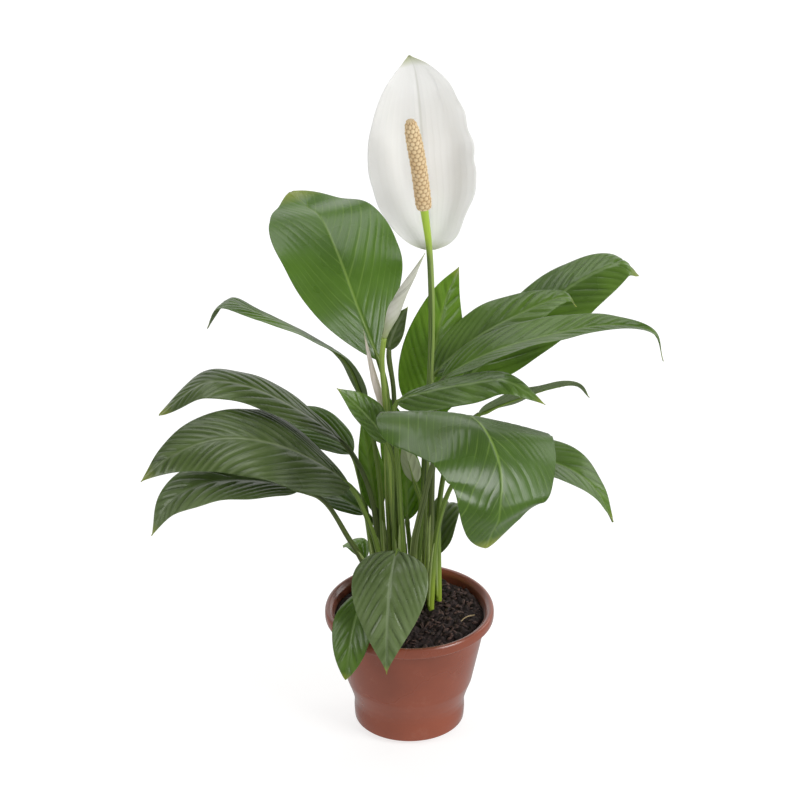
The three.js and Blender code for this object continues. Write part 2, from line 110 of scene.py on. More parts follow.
def add_studio():
    """A dim white surround and the panels."""
    world = bpy.data.worlds.new("white_surround")
    world.use_nodes = True
    background = world.node_tree.nodes["Background"]
    background.inputs["Color"].default_value = (1, 1, 1, 1)
    background.inputs["Strength"].default_value = SURROUND_STRENGTH
    scene.world = world
    for panel in PANELS:
        add_panel(*panel)
    scene.view_settings.view_transform = "Standard"


add_camera()
add_studio()


# ---------- curves ----------
def smooth(low, high, value):
    """0 at low and before it, 1 at high and beyond, and 3 t^2 - 2 t^3 in between."""
    share = np.clip((value - low) / (high - low), 0, 1)
    return share * share * (3 - 2 * share)


def mix(start, end, share):
    """The value at a share of the way from start to end."""
    return start + (end - start) * share


def full_turn(sides):
    """That many angles, spread evenly over a full turn."""
    return 2 * np.pi * np.arange(sides) / sides


def ended(values):
    """Values by row, with the first and the last once more for the rows that close both ends."""
    return np.concatenate([values[:1], values, values[-1:]])


def closed_ends(points):
    """Rows of points, with a row more at each end that is gathered at its neighbour's middle."""
    first, last = (points[row].mean(0)[None, None].repeat(points.shape[1], 1) for row in (0, -1))
    return np.concatenate([first, points, last])


def turn_about(vectors, axes, angles):
    """Rodrigues' formula: each vector turned about its own unit axis."""
    cosine = np.cos(angles)[:, None]
    sine = np.sin(angles)[:, None]
    along = (vectors * axes).sum(1)[:, None]
    return vectors * cosine + np.cross(axes, vectors) * sine + axes * along * (1 - cosine)


class Spine:
    """A centripetal Catmull-Rom curve through a few points, read by its share of arc length.

    Each span is a cubic whose end slopes come from the neighbouring points, with every chord
    weighted by the square root of its length. The ends are carried on in a straight line.
    """

    fineness = 160

    def __init__(self, points, azimuth=90):
        knots = np.array(points, float)
        self.azimuth = azimuth
        self.spans = len(knots) - 1
        padded = np.vstack([2 * knots[0] - knots[1], knots, 2 * knots[-1] - knots[-2]])
        before, start, end, after = (padded[place:place + self.spans] for place in range(4))
        g0, g1, g2 = (np.linalg.norm(b - a, axis=1)[:, None] ** 0.5
                      for a, b in ((before, start), (start, end), (end, after)))
        first = ((start - before) / g0 - (end - before) / (g0 + g1) + (end - start) / g1) * g1
        last = ((end - start) / g1 - (after - start) / (g1 + g2) + (after - end) / g2) * g1
        self.cubic = (start, first, 3 * (end - start) - 2 * first - last,
                      2 * (start - end) + first + last)
        self.fine = np.linspace(0, 1, self.spans * self.fineness + 1)
        steps = np.linalg.norm(np.diff(self.point(self.fine), axis=0), axis=1)
        self.travel = np.concatenate([[0], np.cumsum(steps)])
        self.length = self.travel[-1]

    def point(self, place):
        """Points at places from 0 to 1, each span taking an equal part of that range."""
        along = np.clip(place, 0, 1) * self.spans
        span = np.minimum(along.astype(int), self.spans - 1)
        local = (along - span)[:, None]
        c0, c1, c2, c3 = (part[span] for part in self.cubic)
        return c0 + local * (c1 + local * (c2 + local * c3))

    def share_at(self, number):
        """The share of the length at which the curve passes its knot of that number."""
        return self.travel[number * self.fineness] / self.length

    def frame(self, share, roll=0, twist=0):
        """Origin, side and up at shares of the length: side is level and square to the azimuth,
        up is square to it and to the curve, and the roll turns both about the curve."""
        share = np.asarray(share, float)
        place = np.interp(share * self.length, self.travel, self.fine)
        step = 1e-4
        tangent = self.point(place + step) - self.point(place - step)
        tangent /= np.linalg.norm(tangent, axis=1)[:, None]
        angle = np.radians(self.azimuth + twist) * np.ones(len(share))
        side = np.stack([np.sin(angle), -np.cos(angle), 0 * angle], 1)
        side -= tangent * (side * tangent).sum(1)[:, None]
        side /= np.linalg.norm(side, axis=1)[:, None]
        up = np.cross(side, tangent)
        turn = -np.radians(roll) * np.ones(len(share))
        return self.point(place), turn_about(side, tangent, turn), turn_about(up, tangent, turn)


def carry(spine, share, across, above, roll=0, twist=0):
    """Points of a surface: a row of (across, above) distances carried at each share of a spine."""
    origin, side, up = spine.frame(share, roll, twist)
    return origin[:, None] + side[:, None] * across[..., None] + up[:, None] * above[..., None]


# ---------- meshes ----------
class Surface:
    """A grid of points, with a finish number for its faces, and UV maps by name.

    wrap joins the last column to the first, and the UV values then have one column more. flip
    turns the faces over.
    """

    def __init__(self, points, finish=0, wrap=False, flip=False, **uv_maps):
        self.points = points
        self.uv_maps = uv_maps
        rows, columns = points.shape[:2]
        across = columns if wrap else columns - 1
        self.finish = np.broadcast_to(finish, (rows - 1, across)).ravel()
        row, column = np.meshgrid(np.arange(rows - 1), np.arange(across), indexing="ij")
        corners = [(0, 0), (0, 1), (1, 1), (1, 0)]
        if flip:
            corners = corners[::-1]
        self.corners = [((row + r).ravel(), (column + c).ravel()) for r, c in corners]
        self.faces = np.stack([r * columns + c % columns for r, c in self.corners], 1)

    def uv(self, name):
        """One UV pair for each corner of each face, or zeros where it has no such map."""
        values = self.uv_maps.get(name)
        if values is None:
            return np.zeros((len(self.faces) * 4, 2))
        return np.stack([values[r, c] for r, c in self.corners], 1).reshape(-1, 2)


def pairs(first, second):
    """Two sets of values as the pairs of a UV map."""
    return np.stack(np.broadcast_arrays(first, second), -1)


def add_piece(name, surfaces, materials, slot, *nodes):
    """Joins surfaces into one mesh in metres, closes its seams and poles, and dresses a node."""
    points = np.concatenate([surface.points.reshape(-1, 3) for surface in surfaces]) * MM
    starts = np.cumsum([0] + [surface.points[..., 0].size for surface in surfaces])
    faces = np.concatenate([surface.faces + start for surface, start in zip(surfaces, starts)])
    mesh = bpy.data.meshes.new(name)
    mesh.vertices.add(len(points))
    mesh.vertices.foreach_set("co", points.ravel())
    mesh.loops.add(faces.size)
    mesh.loops.foreach_set("vertex_index", faces.ravel())
    mesh.polygons.add(len(faces))
    mesh.polygons.foreach_set("loop_start", np.arange(len(faces)) * 4)
    mesh.polygons.foreach_set("material_index", np.concatenate([s.finish for s in surfaces]))
    for uv_name in dict.fromkeys(key for surface in surfaces for key in surface.uv_maps):
        layer = mesh.uv_layers.new(name=uv_name)
        values = np.concatenate([surface.uv(uv_name) for surface in surfaces])
        layer.data.foreach_set("uv", values.ravel())
    for material in materials:
        mesh.materials.append(material)
    mesh.update(calc_edges=True)
    close_seams(mesh)
    piece = bpy.data.objects.new(name, mesh)
    scene.collection.objects.link(piece)
    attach(piece, "root")
    if nodes:
        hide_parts(*nodes)
    return piece


def close_seams(mesh):
    """Merges points that coincide, drops faces that have no area, and shades smooth."""
    work = bmesh.new()
    work.from_mesh(mesh)
    bmesh.ops.remove_doubles(work, verts=work.verts, dist=2e-6)
    bmesh.ops.dissolve_degenerate(work, edges=work.edges, dist=1e-7)
    for face in work.faces:
        face.smooth = True
    work.to_mesh(mesh)
    work.free()


def tube(spine, share, radius, sides, finish=0, lift=0, flat=1, **turns):
    """A round tube: at each share a circle (r cos t, flat r sin t + lift), closed at both ends by
    rings that shrink to a point."""
    radius = np.concatenate([[0], np.broadcast_to(radius, share.shape), [0]])
    lift, flat = (ended(np.broadcast_to(value, share.shape)) for value in (lift, flat))
    turns = {key: ended(value) for key, value in turns.items()}
    angle = full_turn(sides)
    across = radius[:, None] * np.cos(angle)
    above = (flat * radius)[:, None] * np.sin(angle) + lift[:, None]
    share = ended(share)
    points = carry(spine, share, across, above, **turns)
    around = np.arange(sides + 1) / sides
    strip = pairs(around, share[:, None])
    return Surface(points, finish, wrap=True, flip=True, strip=strip)


# ---------- materials ----------
def linear(code):
    """An sRGB hex colour as the linear RGBA that the shader takes."""
    srgb = np.array([int(code[place:place + 2], 16) for place in (1, 3, 5)]) / 255
    value = np.where(srgb <= 0.04045, srgb / 12.92, ((srgb + 0.055) / 1.055) ** 2.4)
    return (*value, 1)


def new_material(name):
    """A material that has no nodes yet, and the function that adds a node to it."""
    material = bpy.data.materials.new(name)
    material.use_nodes = True
    tree = material.node_tree
    tree.nodes.clear()

    def add(kind, inputs, out=0, **settings):
        """Adds a node with its settings and links, and gives one of its outputs. Each input is a
        value, or an output to link. By number, Math takes 0 and 1. MapRange takes a value 0, its
        range 1 to 2, and the range 3 to 4 to spread it to, 0 to 1 where that is left out. Mix
        takes a share 0 and the colours 6 and 7, and gives 2."""
        node = tree.nodes.new("ShaderNode" + kind)
        for key, value in settings.items():
            setattr(node, key, value)
        for key, value in inputs.items():
            if isinstance(value, bpy.types.NodeSocket):
                tree.links.new(value, node.inputs[key])
            else:
                node.inputs[key].default_value = value
        return node.outputs[out] if node.outputs else None

    return material, add


def line_mask(add, value, width):
    """1 where a value is a whole number, falling to 0 at the given distance from it."""
    part = add("Math", {0: value}, operation="FRACT")
    off = add("Math", {0: part, 1: 0.5}, operation="SUBTRACT")
    away = add("Math", {0: off}, operation="ABSOLUTE")
    return add("MapRange", {0: away, 1: 0.5 - width, 2: 0.5}, interpolation_type="SMOOTHSTEP")


def near_zero(add, value, inner, outer):
    """1 where a value is within inner of zero, falling to 0 at outer."""
    away = add("Math", {0: value}, operation="ABSOLUTE")
    return add("MapRange", {0: away, 1: inner, 2: outer, 3: 1, 4: 0}, interpolation_type="SMOOTHSTEP")


def patches(add, size, detail=3, rough=0.5):
    """Soft random patches about that many millimetres across, with finer ones in them, which stay
    in place on the piece."""
    place = add("TexCoord", {}, "Object")
    inputs = {"Vector": place, "Scale": 1 / (size * MM), "Detail": detail, "Roughness": rough}
    return add("TexNoise", inputs, "Fac")


def map_parts(add, uv_map):
    """The two coordinates of a UV map."""
    uv = add("UVMap", {}, uv_map=uv_map)
    return add("SeparateXYZ", {0: uv}).node.outputs[:2]


def paint(add, first, coats):
    """A colour with coats laid over it in turn, each as (mask, strength, colour)."""
    colour = linear(first)
    for mask, strength, shade in coats:
        share = add("Math", {0: mask, 1: strength}, operation="MULTIPLY")
        colour = add("Mix", {0: share, 6: colour, 7: linear(shade)}, 2, data_type="RGBA")
    return colour


def finish_material(add, colour, roughness, relief=None, glow=None, **fixed):
    """Ends a material in a Principled shader. A relief is (height, strength, depth in metres). A
    glow is (colour, share), where light shines through the piece."""
    inputs = {"Base Color": colour, "Roughness": roughness}
    inputs.update({key.replace("_", " "): value for key, value in fixed.items()})
    if relief:
        inputs["Normal"] = add("Bump", dict(zip(("Height", "Strength", "Distance"), relief)))
    shader = add("BsdfPrincipled", inputs)
    if glow:
        through = add("BsdfTranslucent", {"Color": linear(glow[0])})
        shader = add("MixShader", {0: glow[1], 1: shader, 2: through})
    add("OutputMaterial", {"Surface": shader})


def leaf_blade_material(name, deep, fresh, pale, through, groove="#2a3a12", quilting=0.18):
    """A living leaf's upper skin: a waxy cuticle, so glossy with a clear grey sheen where the
    light grazes it, over green that varies softly. The grooves along its side veins take the groove
    colour: dark in most skins, as painted shade, and pale in the smooth and large skins, whose side
    veins are pale lines. A painted sheen, of strength quilting, pales the quilts between them, and
    its fine veins are paler. The midrib is palest near the leaf's base, and the tip yellows."""
    material, add = new_material(name)
    phase, across = map_parts(add, "veins")
    _, along = map_parts(add, "strip")
    cloud = patches(add, 45.5)
    softly = add("MapRange", {0: cloud, 1: 0.35, 2: 0.65})
    closer = {0: phase, 1: VEIN_SPACING / FINE_VEIN_SPACING}
    fine_vein = line_mask(add, add("Math", closer, operation="MULTIPLY"), 0.3)
    half_way = add("Math", {0: phase, 1: 0.5}, operation="ADD")
    patchy = add("MapRange", {0: patches(add, 28.6), 1: 0.35, 2: 0.65, 3: 0.1})
    # Painted shade and sheen: quilt pales the quilts between the side veins as a painted sheen, and
    # side_vein lays the groove colour along the veins, which in most skins is painted shade.
    quilt, side_vein = (add("Math", {0: mask, 1: patchy}, operation="MULTIPLY")
                        for mask in (line_mask(add, half_way, 0.33), line_mask(add, phase, 0.13)))
    fade = add("MapRange", {0: along, 1: 0.35, 2: 0.85, 3: 0.6, 4: 0.2})
    midrib = add("Math", {0: near_zero(add, across, 0.6, 1.7), 1: fade}, operation="MULTIPLY")
    tip = add("MapRange", {0: along, 1: 0.92, 2: 0.99})
    # The quilt coat is a painted sheen, and the side_vein coat is a painted shade wherever the groove
    # colour is dark.
    colour = paint(add, deep, [
        (softly, 1, fresh), (fine_vein, 0.04, pale), (quilt, quilting, pale),
        (side_vein, 0.33, groove), (midrib, 1, pale), (tip, 0.85, "#8f9a35"),
    ])
    height = add("Math", {0: patches(add, 2.38), 1: fine_vein}, operation="SUBTRACT")
    rough = add("MapRange", {0: cloud, 1: 0.3, 2: 0.7, 3: 0.24, 4: 0.34})
    finish_material(add, colour, rough, (height, 0.4, 0.00008), (through, 0.14), IOR=1.45,
                    Coat_Weight=0.2, Coat_Roughness=0.14, Sheen_Weight=0.16, Sheen_Roughness=0.4)
    return material


def leaf_back_material(name, pale, vein, through):
    """A leaf's underside: no wax, so duller and paler than the upper skin, with its veins raised."""
    material, add = new_material(name)
    phase, _ = map_parts(add, "veins")
    side_vein = line_mask(add, phase, 0.12)
    cloud = add("MapRange", {0: patches(add, 25), 1: 0.3, 2: 0.7})
    colour = paint(add, pale, [(cloud, 0.25, vein), (side_vein, 0.35, vein)])
    finish_material(add, colour, 0.52, (side_vein, 0.5, 0.0003), (through, 0.2), IOR=1.45)
    return material


def stem_material(name, dark, light, tip=None, tip_start=0.85, painted_lit_side=0):
    """A petiole's or flower stem's skin: smooth and satin, streaked lengthwise in fine lines, paler
    towards the foot and yellow-green at the sheath, partly its own colour and partly a painted
    glow of light shining through it. A flower stem is yellow-green again above tip_start, and its
    side towards +x, where the key light stands, has light painted on it."""
    material, add = new_material(name)
    around, along = map_parts(add, "strip")
    streaks_around = 2 * math.pi * PETIOLE_RADIUS / STREAK_WIDTH
    stretched = [add("Math", {0: part, 1: streaks}, operation="MULTIPLY")
                 for part, streaks in ((around, streaks_around), (along, STREAKS_ALONG))]
    streak_place = add("CombineXYZ", dict(enumerate(stretched)))
    streak = add("TexNoise", {"Vector": streak_place, "Scale": 1, "Detail": 3, "Roughness": 0.5}, "Fac")
    share = add("MapRange", {0: streak, 1: 0.35, 2: 0.65, 4: 0.75})
    foot = add("MapRange", {0: along, 1: 0, 2: 0.3, 3: 0.45, 4: 0})
    share = add("Math", {0: share, 1: foot}, operation="ADD")
    # Painted light: the side of the stem towards +x, where the key light stands, is painted lighter.
    if painted_lit_side:
        turn = add("Math", {0: around, 1: 2 * math.pi}, operation="MULTIPLY")
        to_light = add("Math", {0: turn}, operation="COSINE")
        lit = add("MapRange", {0: to_light, 1: 0, 2: 0.4, 4: painted_lit_side})
        share = add("Math", {0: share, 1: lit}, operation="ADD")
    share = add("Math", {0: share, 1: 1}, operation="MINIMUM")
    # The yellow-green sheath is partly its own colour and partly a painted glow of light shining through
    # it.
    sheath = add("MapRange", {0: along, 1: 0.06, 2: 0.2, 3: 1, 4: 0})
    coats = [(share, 1, light), (sheath, 0.75, "#a2ba3c")]
    if tip:
        top = add("MapRange", {0: along, 1: tip_start, 2: tip_start + 0.06})
        coats.append((top, 1, tip))
    finish_material(add, paint(add, dark, coats), 0.42, (streak, 0.4, 0.0002), IOR=1.45)
    return material


# ---------- leaves ----------
# The same lengths and angles as the solids have. petiole and blade: points in millimetres, from
# the foot in the potting mix to the tip. azimuth: the way that the leaf grows out, in degrees.
# twist: degrees added to it by the tip. roll: degrees about the midrib, at the blade's base and
# tip. fold: degrees that its left and right half rise. droop and wave: shares of the half width.
# shoulder and taper: the powers of the outline, which is full at the base where the shoulder is
# small, and drawn out at the tip where the taper is large. sheath: the share of the petiole with
# thin wings. ribs: how strongly its side veins are pressed in. lobe: millimetres that one side
# hangs near the base. skin: which green its blade has. A streak's width is that round a petiole,
# and STREAKS_ALONG is how many follow each other from foot to tip.
BLADE_THICKNESS = 0.8
MARGIN_THICKNESS = 0.3
BLADE_ROW = 1.6
BLADE_COLUMN = 1.2
PETIOLE_RADIUS = 2.1
SHEATH_RADIUS = 3.4
WING_WIDTH = 3.4
WING_THICKNESS = 0.35
STREAK_WIDTH = 0.5075
STREAKS_ALONG = 5
WAVES_ALONG = 2.5
VEIN_SPACING = 15
FINE_VEIN_SPACING = 3
VEIN_DEPTH = 1.6
VEIN_LEAN = 1.5
VEIN_BEND = 0.6
CHANNEL_DEPTH = 0.5
SWELL_HEIGHT = 0.8
RIPPLE_HEIGHT = 0.35

# The finish numbers of a leaf's parts, in the order of its materials.
UPPER_SKIN, UNDERSIDE, PETIOLE, WING = range(4)

PLAIN_LEAF = dict(twist=0, roll=(0, 0), fold=(12, 12), droop=0.1, wave=0.03, shoulder=0.7, taper=1.15,
                  sheath=0.4, ribs=1, lobe=0, skin="mid", slot="leaf")

LEAVES = [
    dict(name="leaf_tall_back_left", width=115, azimuth=118, roll=(3, -5), fold=(5, 5), droop=0.02,
         shoulder=0.95, taper=0.72, ribs=0.3, skin="smooth",
         petiole=[(-11, 31, 93), (-12, 32, 116), (-17, 38, 230), (-20, 40, 312)],
         blade=[(-27, 42, 340), (-46, 64, 384), (-63, 102, 415), (-79, 142, 431), (-92, 164, 431),
                (-105, 180, 437)]),
    dict(name="leaf_left_twisted", width=46, azimuth=165, roll=(-46, 0), fold=(4, -2),
         shoulder=0.6, taper=0.6,
         petiole=[(-20, 25, 93), (-21, 26, 116), (-26, 31, 220), (-33, 35, 274)],
         blade=[(-38, 38, 298), (-54, 42, 340), (-91, 50, 363), (-128, 55, 379), (-161, 60, 388),
                (-177, 62, 362)]),
    dict(name="leaf_left_upper", width=50, azimuth=177, roll=(2, 16), fold=(4, -6), taper=0.75,
         skin="deep",
         petiole=[(-25, 17, 93), (-26, 17, 116), (-32, 16, 210), (-44, 19, 248)],
         blade=[(-58, 22, 269), (-83, 25, 291), (-141, 28, 323), (-178, 28, 326), (-219, 24, 296)]),
    dict(name="leaf_left_behind", width=52, azimuth=150, roll=(0, 10),
         petiole=[(-28, 28, 93), (-29, 29, 116), (-38, 37, 188), (-45, 46, 224)],
         blade=[(-51, 54, 240), (-77, 64, 257), (-110, 74, 264), (-142, 90, 260)]),
    dict(name="leaf_left_ribbed", width=94, azimuth=190, roll=(0, 20), fold=(-2, 8), ribs=1.3, droop=0.15,
         skin="deep",
         petiole=[(-22, 8, 93), (-23, 8, 116), (-28, 6, 170), (-39, 4, 208)],
         blade=[(-52, 2, 237), (-86, -12, 273), (-127, -26, 298), (-168, -34, 304), (-206, -41, 291),
                (-232, -44, 268)]),
    dict(name="leaf_left_low", width=66, azimuth=200, roll=(6, 16), fold=(12, 4), ribs=1.2, skin="pale",
         petiole=[(-30, 3, 93), (-31, 3, 116), (-39, 1, 155), (-54, -6, 190), (-76, -18, 235)],
         blade=[(-96, -24, 249), (-135, -34, 264), (-178, -44, 266), (-208, -50, 250),
                (-224, -54, 220)]),
    dict(name="leaf_back_left_low", width=40, azimuth=148,
         petiole=[(-13, 43, 93), (-14, 44, 116), (-24, 45, 160)],
         blade=[(-39, 46, 184), (-62, 53, 197), (-87, 61, 201), (-111, 70, 191)]),
    dict(name="leaf_small_center", width=36, azimuth=180, roll=(30, 30), fold=(20, 20),
         petiole=[(-12, 6, 93), (-12, 6, 116), (-13, 6, 200), (-14, 6, 260)],
         blade=[(-20, 1, 283), (-38, -3, 311), (-62, -6, 339)]),
    dict(name="leaf_inner_left", width=30, azimuth=130, skin="bright",
         petiole=[(-19, 35, 93), (-20, 36, 116), (-24, 40, 160)],
         blade=[(-28, 43, 186), (-34, 47, 224), (-42, 56, 278)]),
    dict(name="leaf_inner_back", width=32, azimuth=100, skin="bright",
         petiole=[(-4, 40, 93), (-4, 42, 116), (-7, 50, 180)],
         blade=[(-9, 55, 207), (-11, 66, 243), (-22, 86, 287)]),
    dict(name="leaf_inner_right", width=34, azimuth=80, skin="bright",
         petiole=[(4, 44, 93), (4, 46, 116), (0, 56, 150)],
         blade=[(-2, 60, 169), (-3, 68, 200), (-6, 84, 253)]),
    dict(name="leaf_upright_back", width=60, azimuth=80, fold=(5, 15), droop=0.05, shoulder=0.45,
         taper=1, skin="bright",
         petiole=[(6, 34, 93), (6, 35, 116), (14, 46, 210), (17, 54, 252)],
         blade=[(18, 60, 276), (20, 72, 318), (32, 92, 376), (43, 98, 403)]),
    dict(name="leaf_right_back", width=63, azimuth=32, roll=(-28, -24), fold=(-16, -8), droop=0.12,
         shoulder=0.8, taper=0.75,
         petiole=[(14, 38, 93), (14, 39, 116), (19, 54, 210), (28, 66, 262)],
         blade=[(38, 72, 289), (73, 88, 322), (107, 104, 349), (150, 121, 378), (190, 134, 389),
                (204, 140, 374)]),
    dict(name="leaf_right_upper", width=58, azimuth=15, roll=(-12, -12), fold=(12, 6),
         petiole=[(13, 27, 93), (13, 28, 116), (13, 34, 256), (16, 37, 306)],
         blade=[(21, 40, 326), (46, 48, 350), (86, 57, 373), (137, 65, 391), (146, 68, 380)]),
    dict(name="leaf_right_long", width=52, azimuth=356, fold=(20, 12), droop=0.05, shoulder=0.6,
         taper=1.5,
         petiole=[(18, 10, 93), (18, 11, 116), (20, 17, 240), (22, 18, 308)],
         blade=[(27, 18, 332), (66, 15, 361), (127, 12, 383), (175, 8, 393), (210, 5, 387), (219, 4, 360)]),
    dict(name="leaf_right_glossy", width=47, azimuth=345, roll=(-4, -10), fold=(-6, -14),
         petiole=[(-4, 3, 93), (-4, 3, 116), (-10, 0, 254), (-13, -4, 302)],
         blade=[(-11, -8, 326), (17, -20, 344), (51, -29, 356), (80, -36, 363), (116, -44, 344)]),
    dict(name="leaf_right_thin", width=34, azimuth=0, roll=(44, 42), skin="pale",
         petiole=[(26, 16, 93), (26, 17, 116), (27, 30, 210), (40, 30, 268)],
         blade=[(60, 28, 294), (89, 28, 309), (144, 28, 324), (157, 28, 312)]),
    dict(name="leaf_front_right_large", width=148, azimuth=290, twist=-11, roll=(10, 14),
         fold=(-7, 7), droop=0.08, wave=0.01, shoulder=0.17, taper=0.72, ribs=0.3, lobe=24,
         skin="large",
         petiole=[(6, -6, 93), (6, -6, 116), (4, -12, 182), (12, -22, 236), (26, -36, 300)],
         blade=[(42, -46, 329), (48, -64, 345), (62, -98, 351), (73, -122, 338), (77, -138, 320),
                (75, -146, 303), (70, -145, 281), (65, -137, 256)]),
    dict(name="leaf_right_low", width=62, azimuth=346, ribs=0.5,
         petiole=[(19, 0, 93), (19, 0, 116), (26, -4, 205), (42, -16, 256)],
         blade=[(62, -20, 270), (100, -28, 284), (142, -38, 275), (162, -44, 258), (176, -48, 230)]),
    dict(name="leaf_small_right", width=34, azimuth=50, skin="deep", sheath=0,
         petiole=[(25, 27, 93), (25, 28, 116), (24, 38, 130)],
         blade=[(24, 44, 142), (28, 56, 166), (35, 72, 180), (37, 90, 164)]),
    dict(name="leaf_small_left", width=26, azimuth=150, sheath=0, skin="bright",
         petiole=[(-34, 22, 93), (-35, 23, 116), (-38, 34, 130)],
         blade=[(-41, 44, 138), (-48, 54, 147), (-60, 66, 140)]),
    dict(name="leaf_front_low", width=68, azimuth=265, ribs=1.5, droop=0.2, shoulder=0.64, taper=1.4,
         skin="pale", sheath=0.2,
         petiole=[(-6, -6, 93), (-6, -6, 116), (-8, -12, 160), (-9, -24, 184)],
         blade=[(-11, -34, 192), (-16, -62, 185), (-19, -80, 160), (-20, -88, 130), (-20, -90, 101)]),
    dict(name="leaf_front_left_low", width=40, azimuth=240, taper=0.85, droop=0.2, sheath=0.2,
         petiole=[(-18, -3, 93), (-19, -4, 116), (-29, -16, 140)],
         blade=[(-36, -28, 147), (-45, -48, 141), (-52, -68, 120), (-56, -80, 89)]),
    dict(name="leaf_bud_side", width=20, azimuth=60, skin="deep",
         petiole=[(-4, 23, 93), (-5, 23, 116), (-11, 24, 211), (-14, 26, 320)],
         blade=[(-18, 28, 358), (-12, 28, 380), (-2, 26, 401)]),
    dict(name="leaf_young_pale", width=18, azimuth=250, skin="young", slot="young_leaf",
         petiole=[(4, 8, 93), (4, 8, 116), (9, 14, 176), (10, 16, 212)],
         blade=[(5, 16, 232), (-1, 16, 256), (-5, 18, 276)]),
]


def half_width(leaf, share):
    """Half the width: half the full width times (s / w)^shoulder ((1 - s) / (1 - w))^taper, which
    is 1 at its widest place w = shoulder / (shoulder + taper)."""
    widest = leaf["shoulder"] / (leaf["shoulder"] + leaf["taper"])
    inside = np.clip(share, 0.002, 0.998)
    outline = ((inside / widest) ** leaf["shoulder"]
               * ((1 - inside) / (1 - widest)) ** leaf["taper"])
    return np.maximum(leaf["width"] / 2 * outline, 0.35)


def cupped(leaf, along, step):
    """A blade's half width, its fold, and its height above the midrib at steps x from -1 to 1:
    half (|x| sin(fold) - droop x^2), plus waves at the margins, those on the right 1.9 radians
    ahead."""
    side = np.abs(step)
    half = half_width(leaf, along)
    fold = np.radians(np.where(step < 0, *leaf["fold"]))
    turn = 2 * np.pi * WAVES_ALONG * along + np.where(step < 0, 0, 1.9)
    wave = half * leaf["wave"] * side ** 2 * np.sin(turn) * smooth(0, 0.2, along)
    return half, fold, half * (side * np.sin(fold) - leaf["droop"] * side ** 2) + wave


def both_skins(spine, share, across, above, side, **turns):
    """A blade's upper skin and then its lower one, back from the other margin. It is thinner
    towards the margins, where side is 1."""
    thickness = mix(BLADE_THICKNESS, MARGIN_THICKNESS, side ** 2)
    upper = carry(spine, share, across, above, **turns)
    lower = carry(spine, share, across, above - thickness, **turns)
    return np.concatenate([upper, lower[:, ::-1]], 1)


def vein_phase(length, half, along, across):
    """Counts side veins from the base: whole numbers lie on a vein. A vein leaves the midrib at
    34 degrees and bends to run beside the margin, so at x from the midrib it has run
    1.5 x + 0.6 x^2 / half width along the blade. The spacing varies a little, and the veins of
    one side start a quarter of it after the other's."""
    away = np.abs(across)
    run = length * along - VEIN_LEAN * away - VEIN_BEND * away ** 2 / half
    return run / VEIN_SPACING + 0.45 * np.sin(run / 23) + 0.25 * (across < 0)


def vein_relief(phase, first, second):
    """The quilting between side veins: |sin(pi p)|^0.8 - 0.6 at phase p, each vein deeper or
    shallower than its neighbours, with a weaker vein half way between each two."""
    strength = 0.7 + 0.45 * np.sin(2.1 * phase + first) * np.sin(0.9 * phase + second)
    between = 0.3 * (np.abs(np.sin(2 * np.pi * phase)) ** 0.8 - 0.6)
    return strength * (np.abs(np.sin(np.pi * phase)) ** 0.8 - 0.6) + between


def blade_surface(leaf, spine, joint, seed):
    """The blade as one closed skin: across = half x cos(fold), above = half (|x| sin(fold)
    - droop x^2) plus margin waves, with side veins pressed in, a channel along the midrib, slow
    swells, and ripples at the margins. x is -1 to 1 across and s is 0 to 1 along.

    A lobe narrows one side at its base, by a share 0.3 exp(-(s / 0.09)^2), moves its margin out
    farther on, by lobe x^2 / 2 exp(-((s - 0.2) / 0.1)^2), and lets it hang, by
    lobe x^2 exp(-((s - 0.3) / 0.13)^2). Such a blade also has a crest across it, of
    0.17 lobe exp(-((s - 0.8 + 0.1 |x|) / 0.065)^2), beyond which it hangs."""
    length = (1 - joint) * spine.length
    widest = leaf["width"] / 2
    rows = int(np.clip(length / BLADE_ROW, 50, 170))
    columns = 2 * int(np.clip(widest / BLADE_COLUMN, 8, 52)) + 1
    share = np.linspace(0, 1, rows + 1)
    step = np.linspace(-1, 1, columns)
    along = share[:, None]
    side = np.abs(step)
    half, fold, above = cupped(leaf, along, step)
    lobe = leaf["lobe"] * side ** 2 * (step > 0)
    narrow = 0.3 * np.exp(-(along / 0.09) ** 2) * (lobe > 0)
    across = half * step * (1 - narrow) + 0.5 * lobe * np.exp(-((along - 0.2) / 0.1) ** 2)
    hang = lobe * np.exp(-((along - 0.3) / 0.13) ** 2)
    crest = 0.17 * leaf["lobe"] * np.exp(-((along - 0.8 + 0.1 * side) / 0.065) ** 2)

    phase = vein_phase(length, widest, along, across)
    a, b, c = np.random.default_rng(seed).uniform(0, 2 * np.pi, 3)
    quilt = vein_relief(phase, a, b) * smooth(0.03, 0.25, side)
    quilt = quilt * smooth(1.05, 0.6, side) * smooth(2, 14, half) * leaf["ribs"]
    channel = -CHANNEL_DEPTH * np.exp(-(across / 1.4) ** 2) * smooth(0, 0.1, along)
    swell = np.sin(length * along / 17 + a) * np.sin(across / 12 + b)
    ripple = side ** 4 * np.sin(length * along / 6.5 + c + step)
    ripple = RIPPLE_HEIGHT * ripple * smooth(4, 16, half)
    detail = VEIN_DEPTH * quilt + channel + SWELL_HEIGHT * swell * side + ripple

    turns = dict(roll=mix(*leaf["roll"], share), twist=leaf["twist"] * share)
    place = mix(joint, 1, share)
    above = above - hang + crest + detail
    skin = both_skins(spine, place, across * np.cos(fold), above, side, **turns)
    ends = (skin + skin[:, ::-1]) / 2
    skin = np.concatenate([ends[:1], skin, ends[-1:]])
    finish = np.repeat([[UPPER_SKIN] * columns + [UNDERSIDE] * (columns - 1) + [UPPER_SKIN]], rows + 2, 0)

    def around(values):
        """Values of the upper skin, carried on round the lower one and over both ends."""
        values = np.broadcast_to(values, across.shape)
        return ended(np.concatenate([values, values[:, ::-1], values[:, :1]], 1))

    veins = pairs(around(phase), around(across))
    strip = pairs(around(side), around(along))
    return Surface(skin, finish, wrap=True, veins=veins, strip=strip)


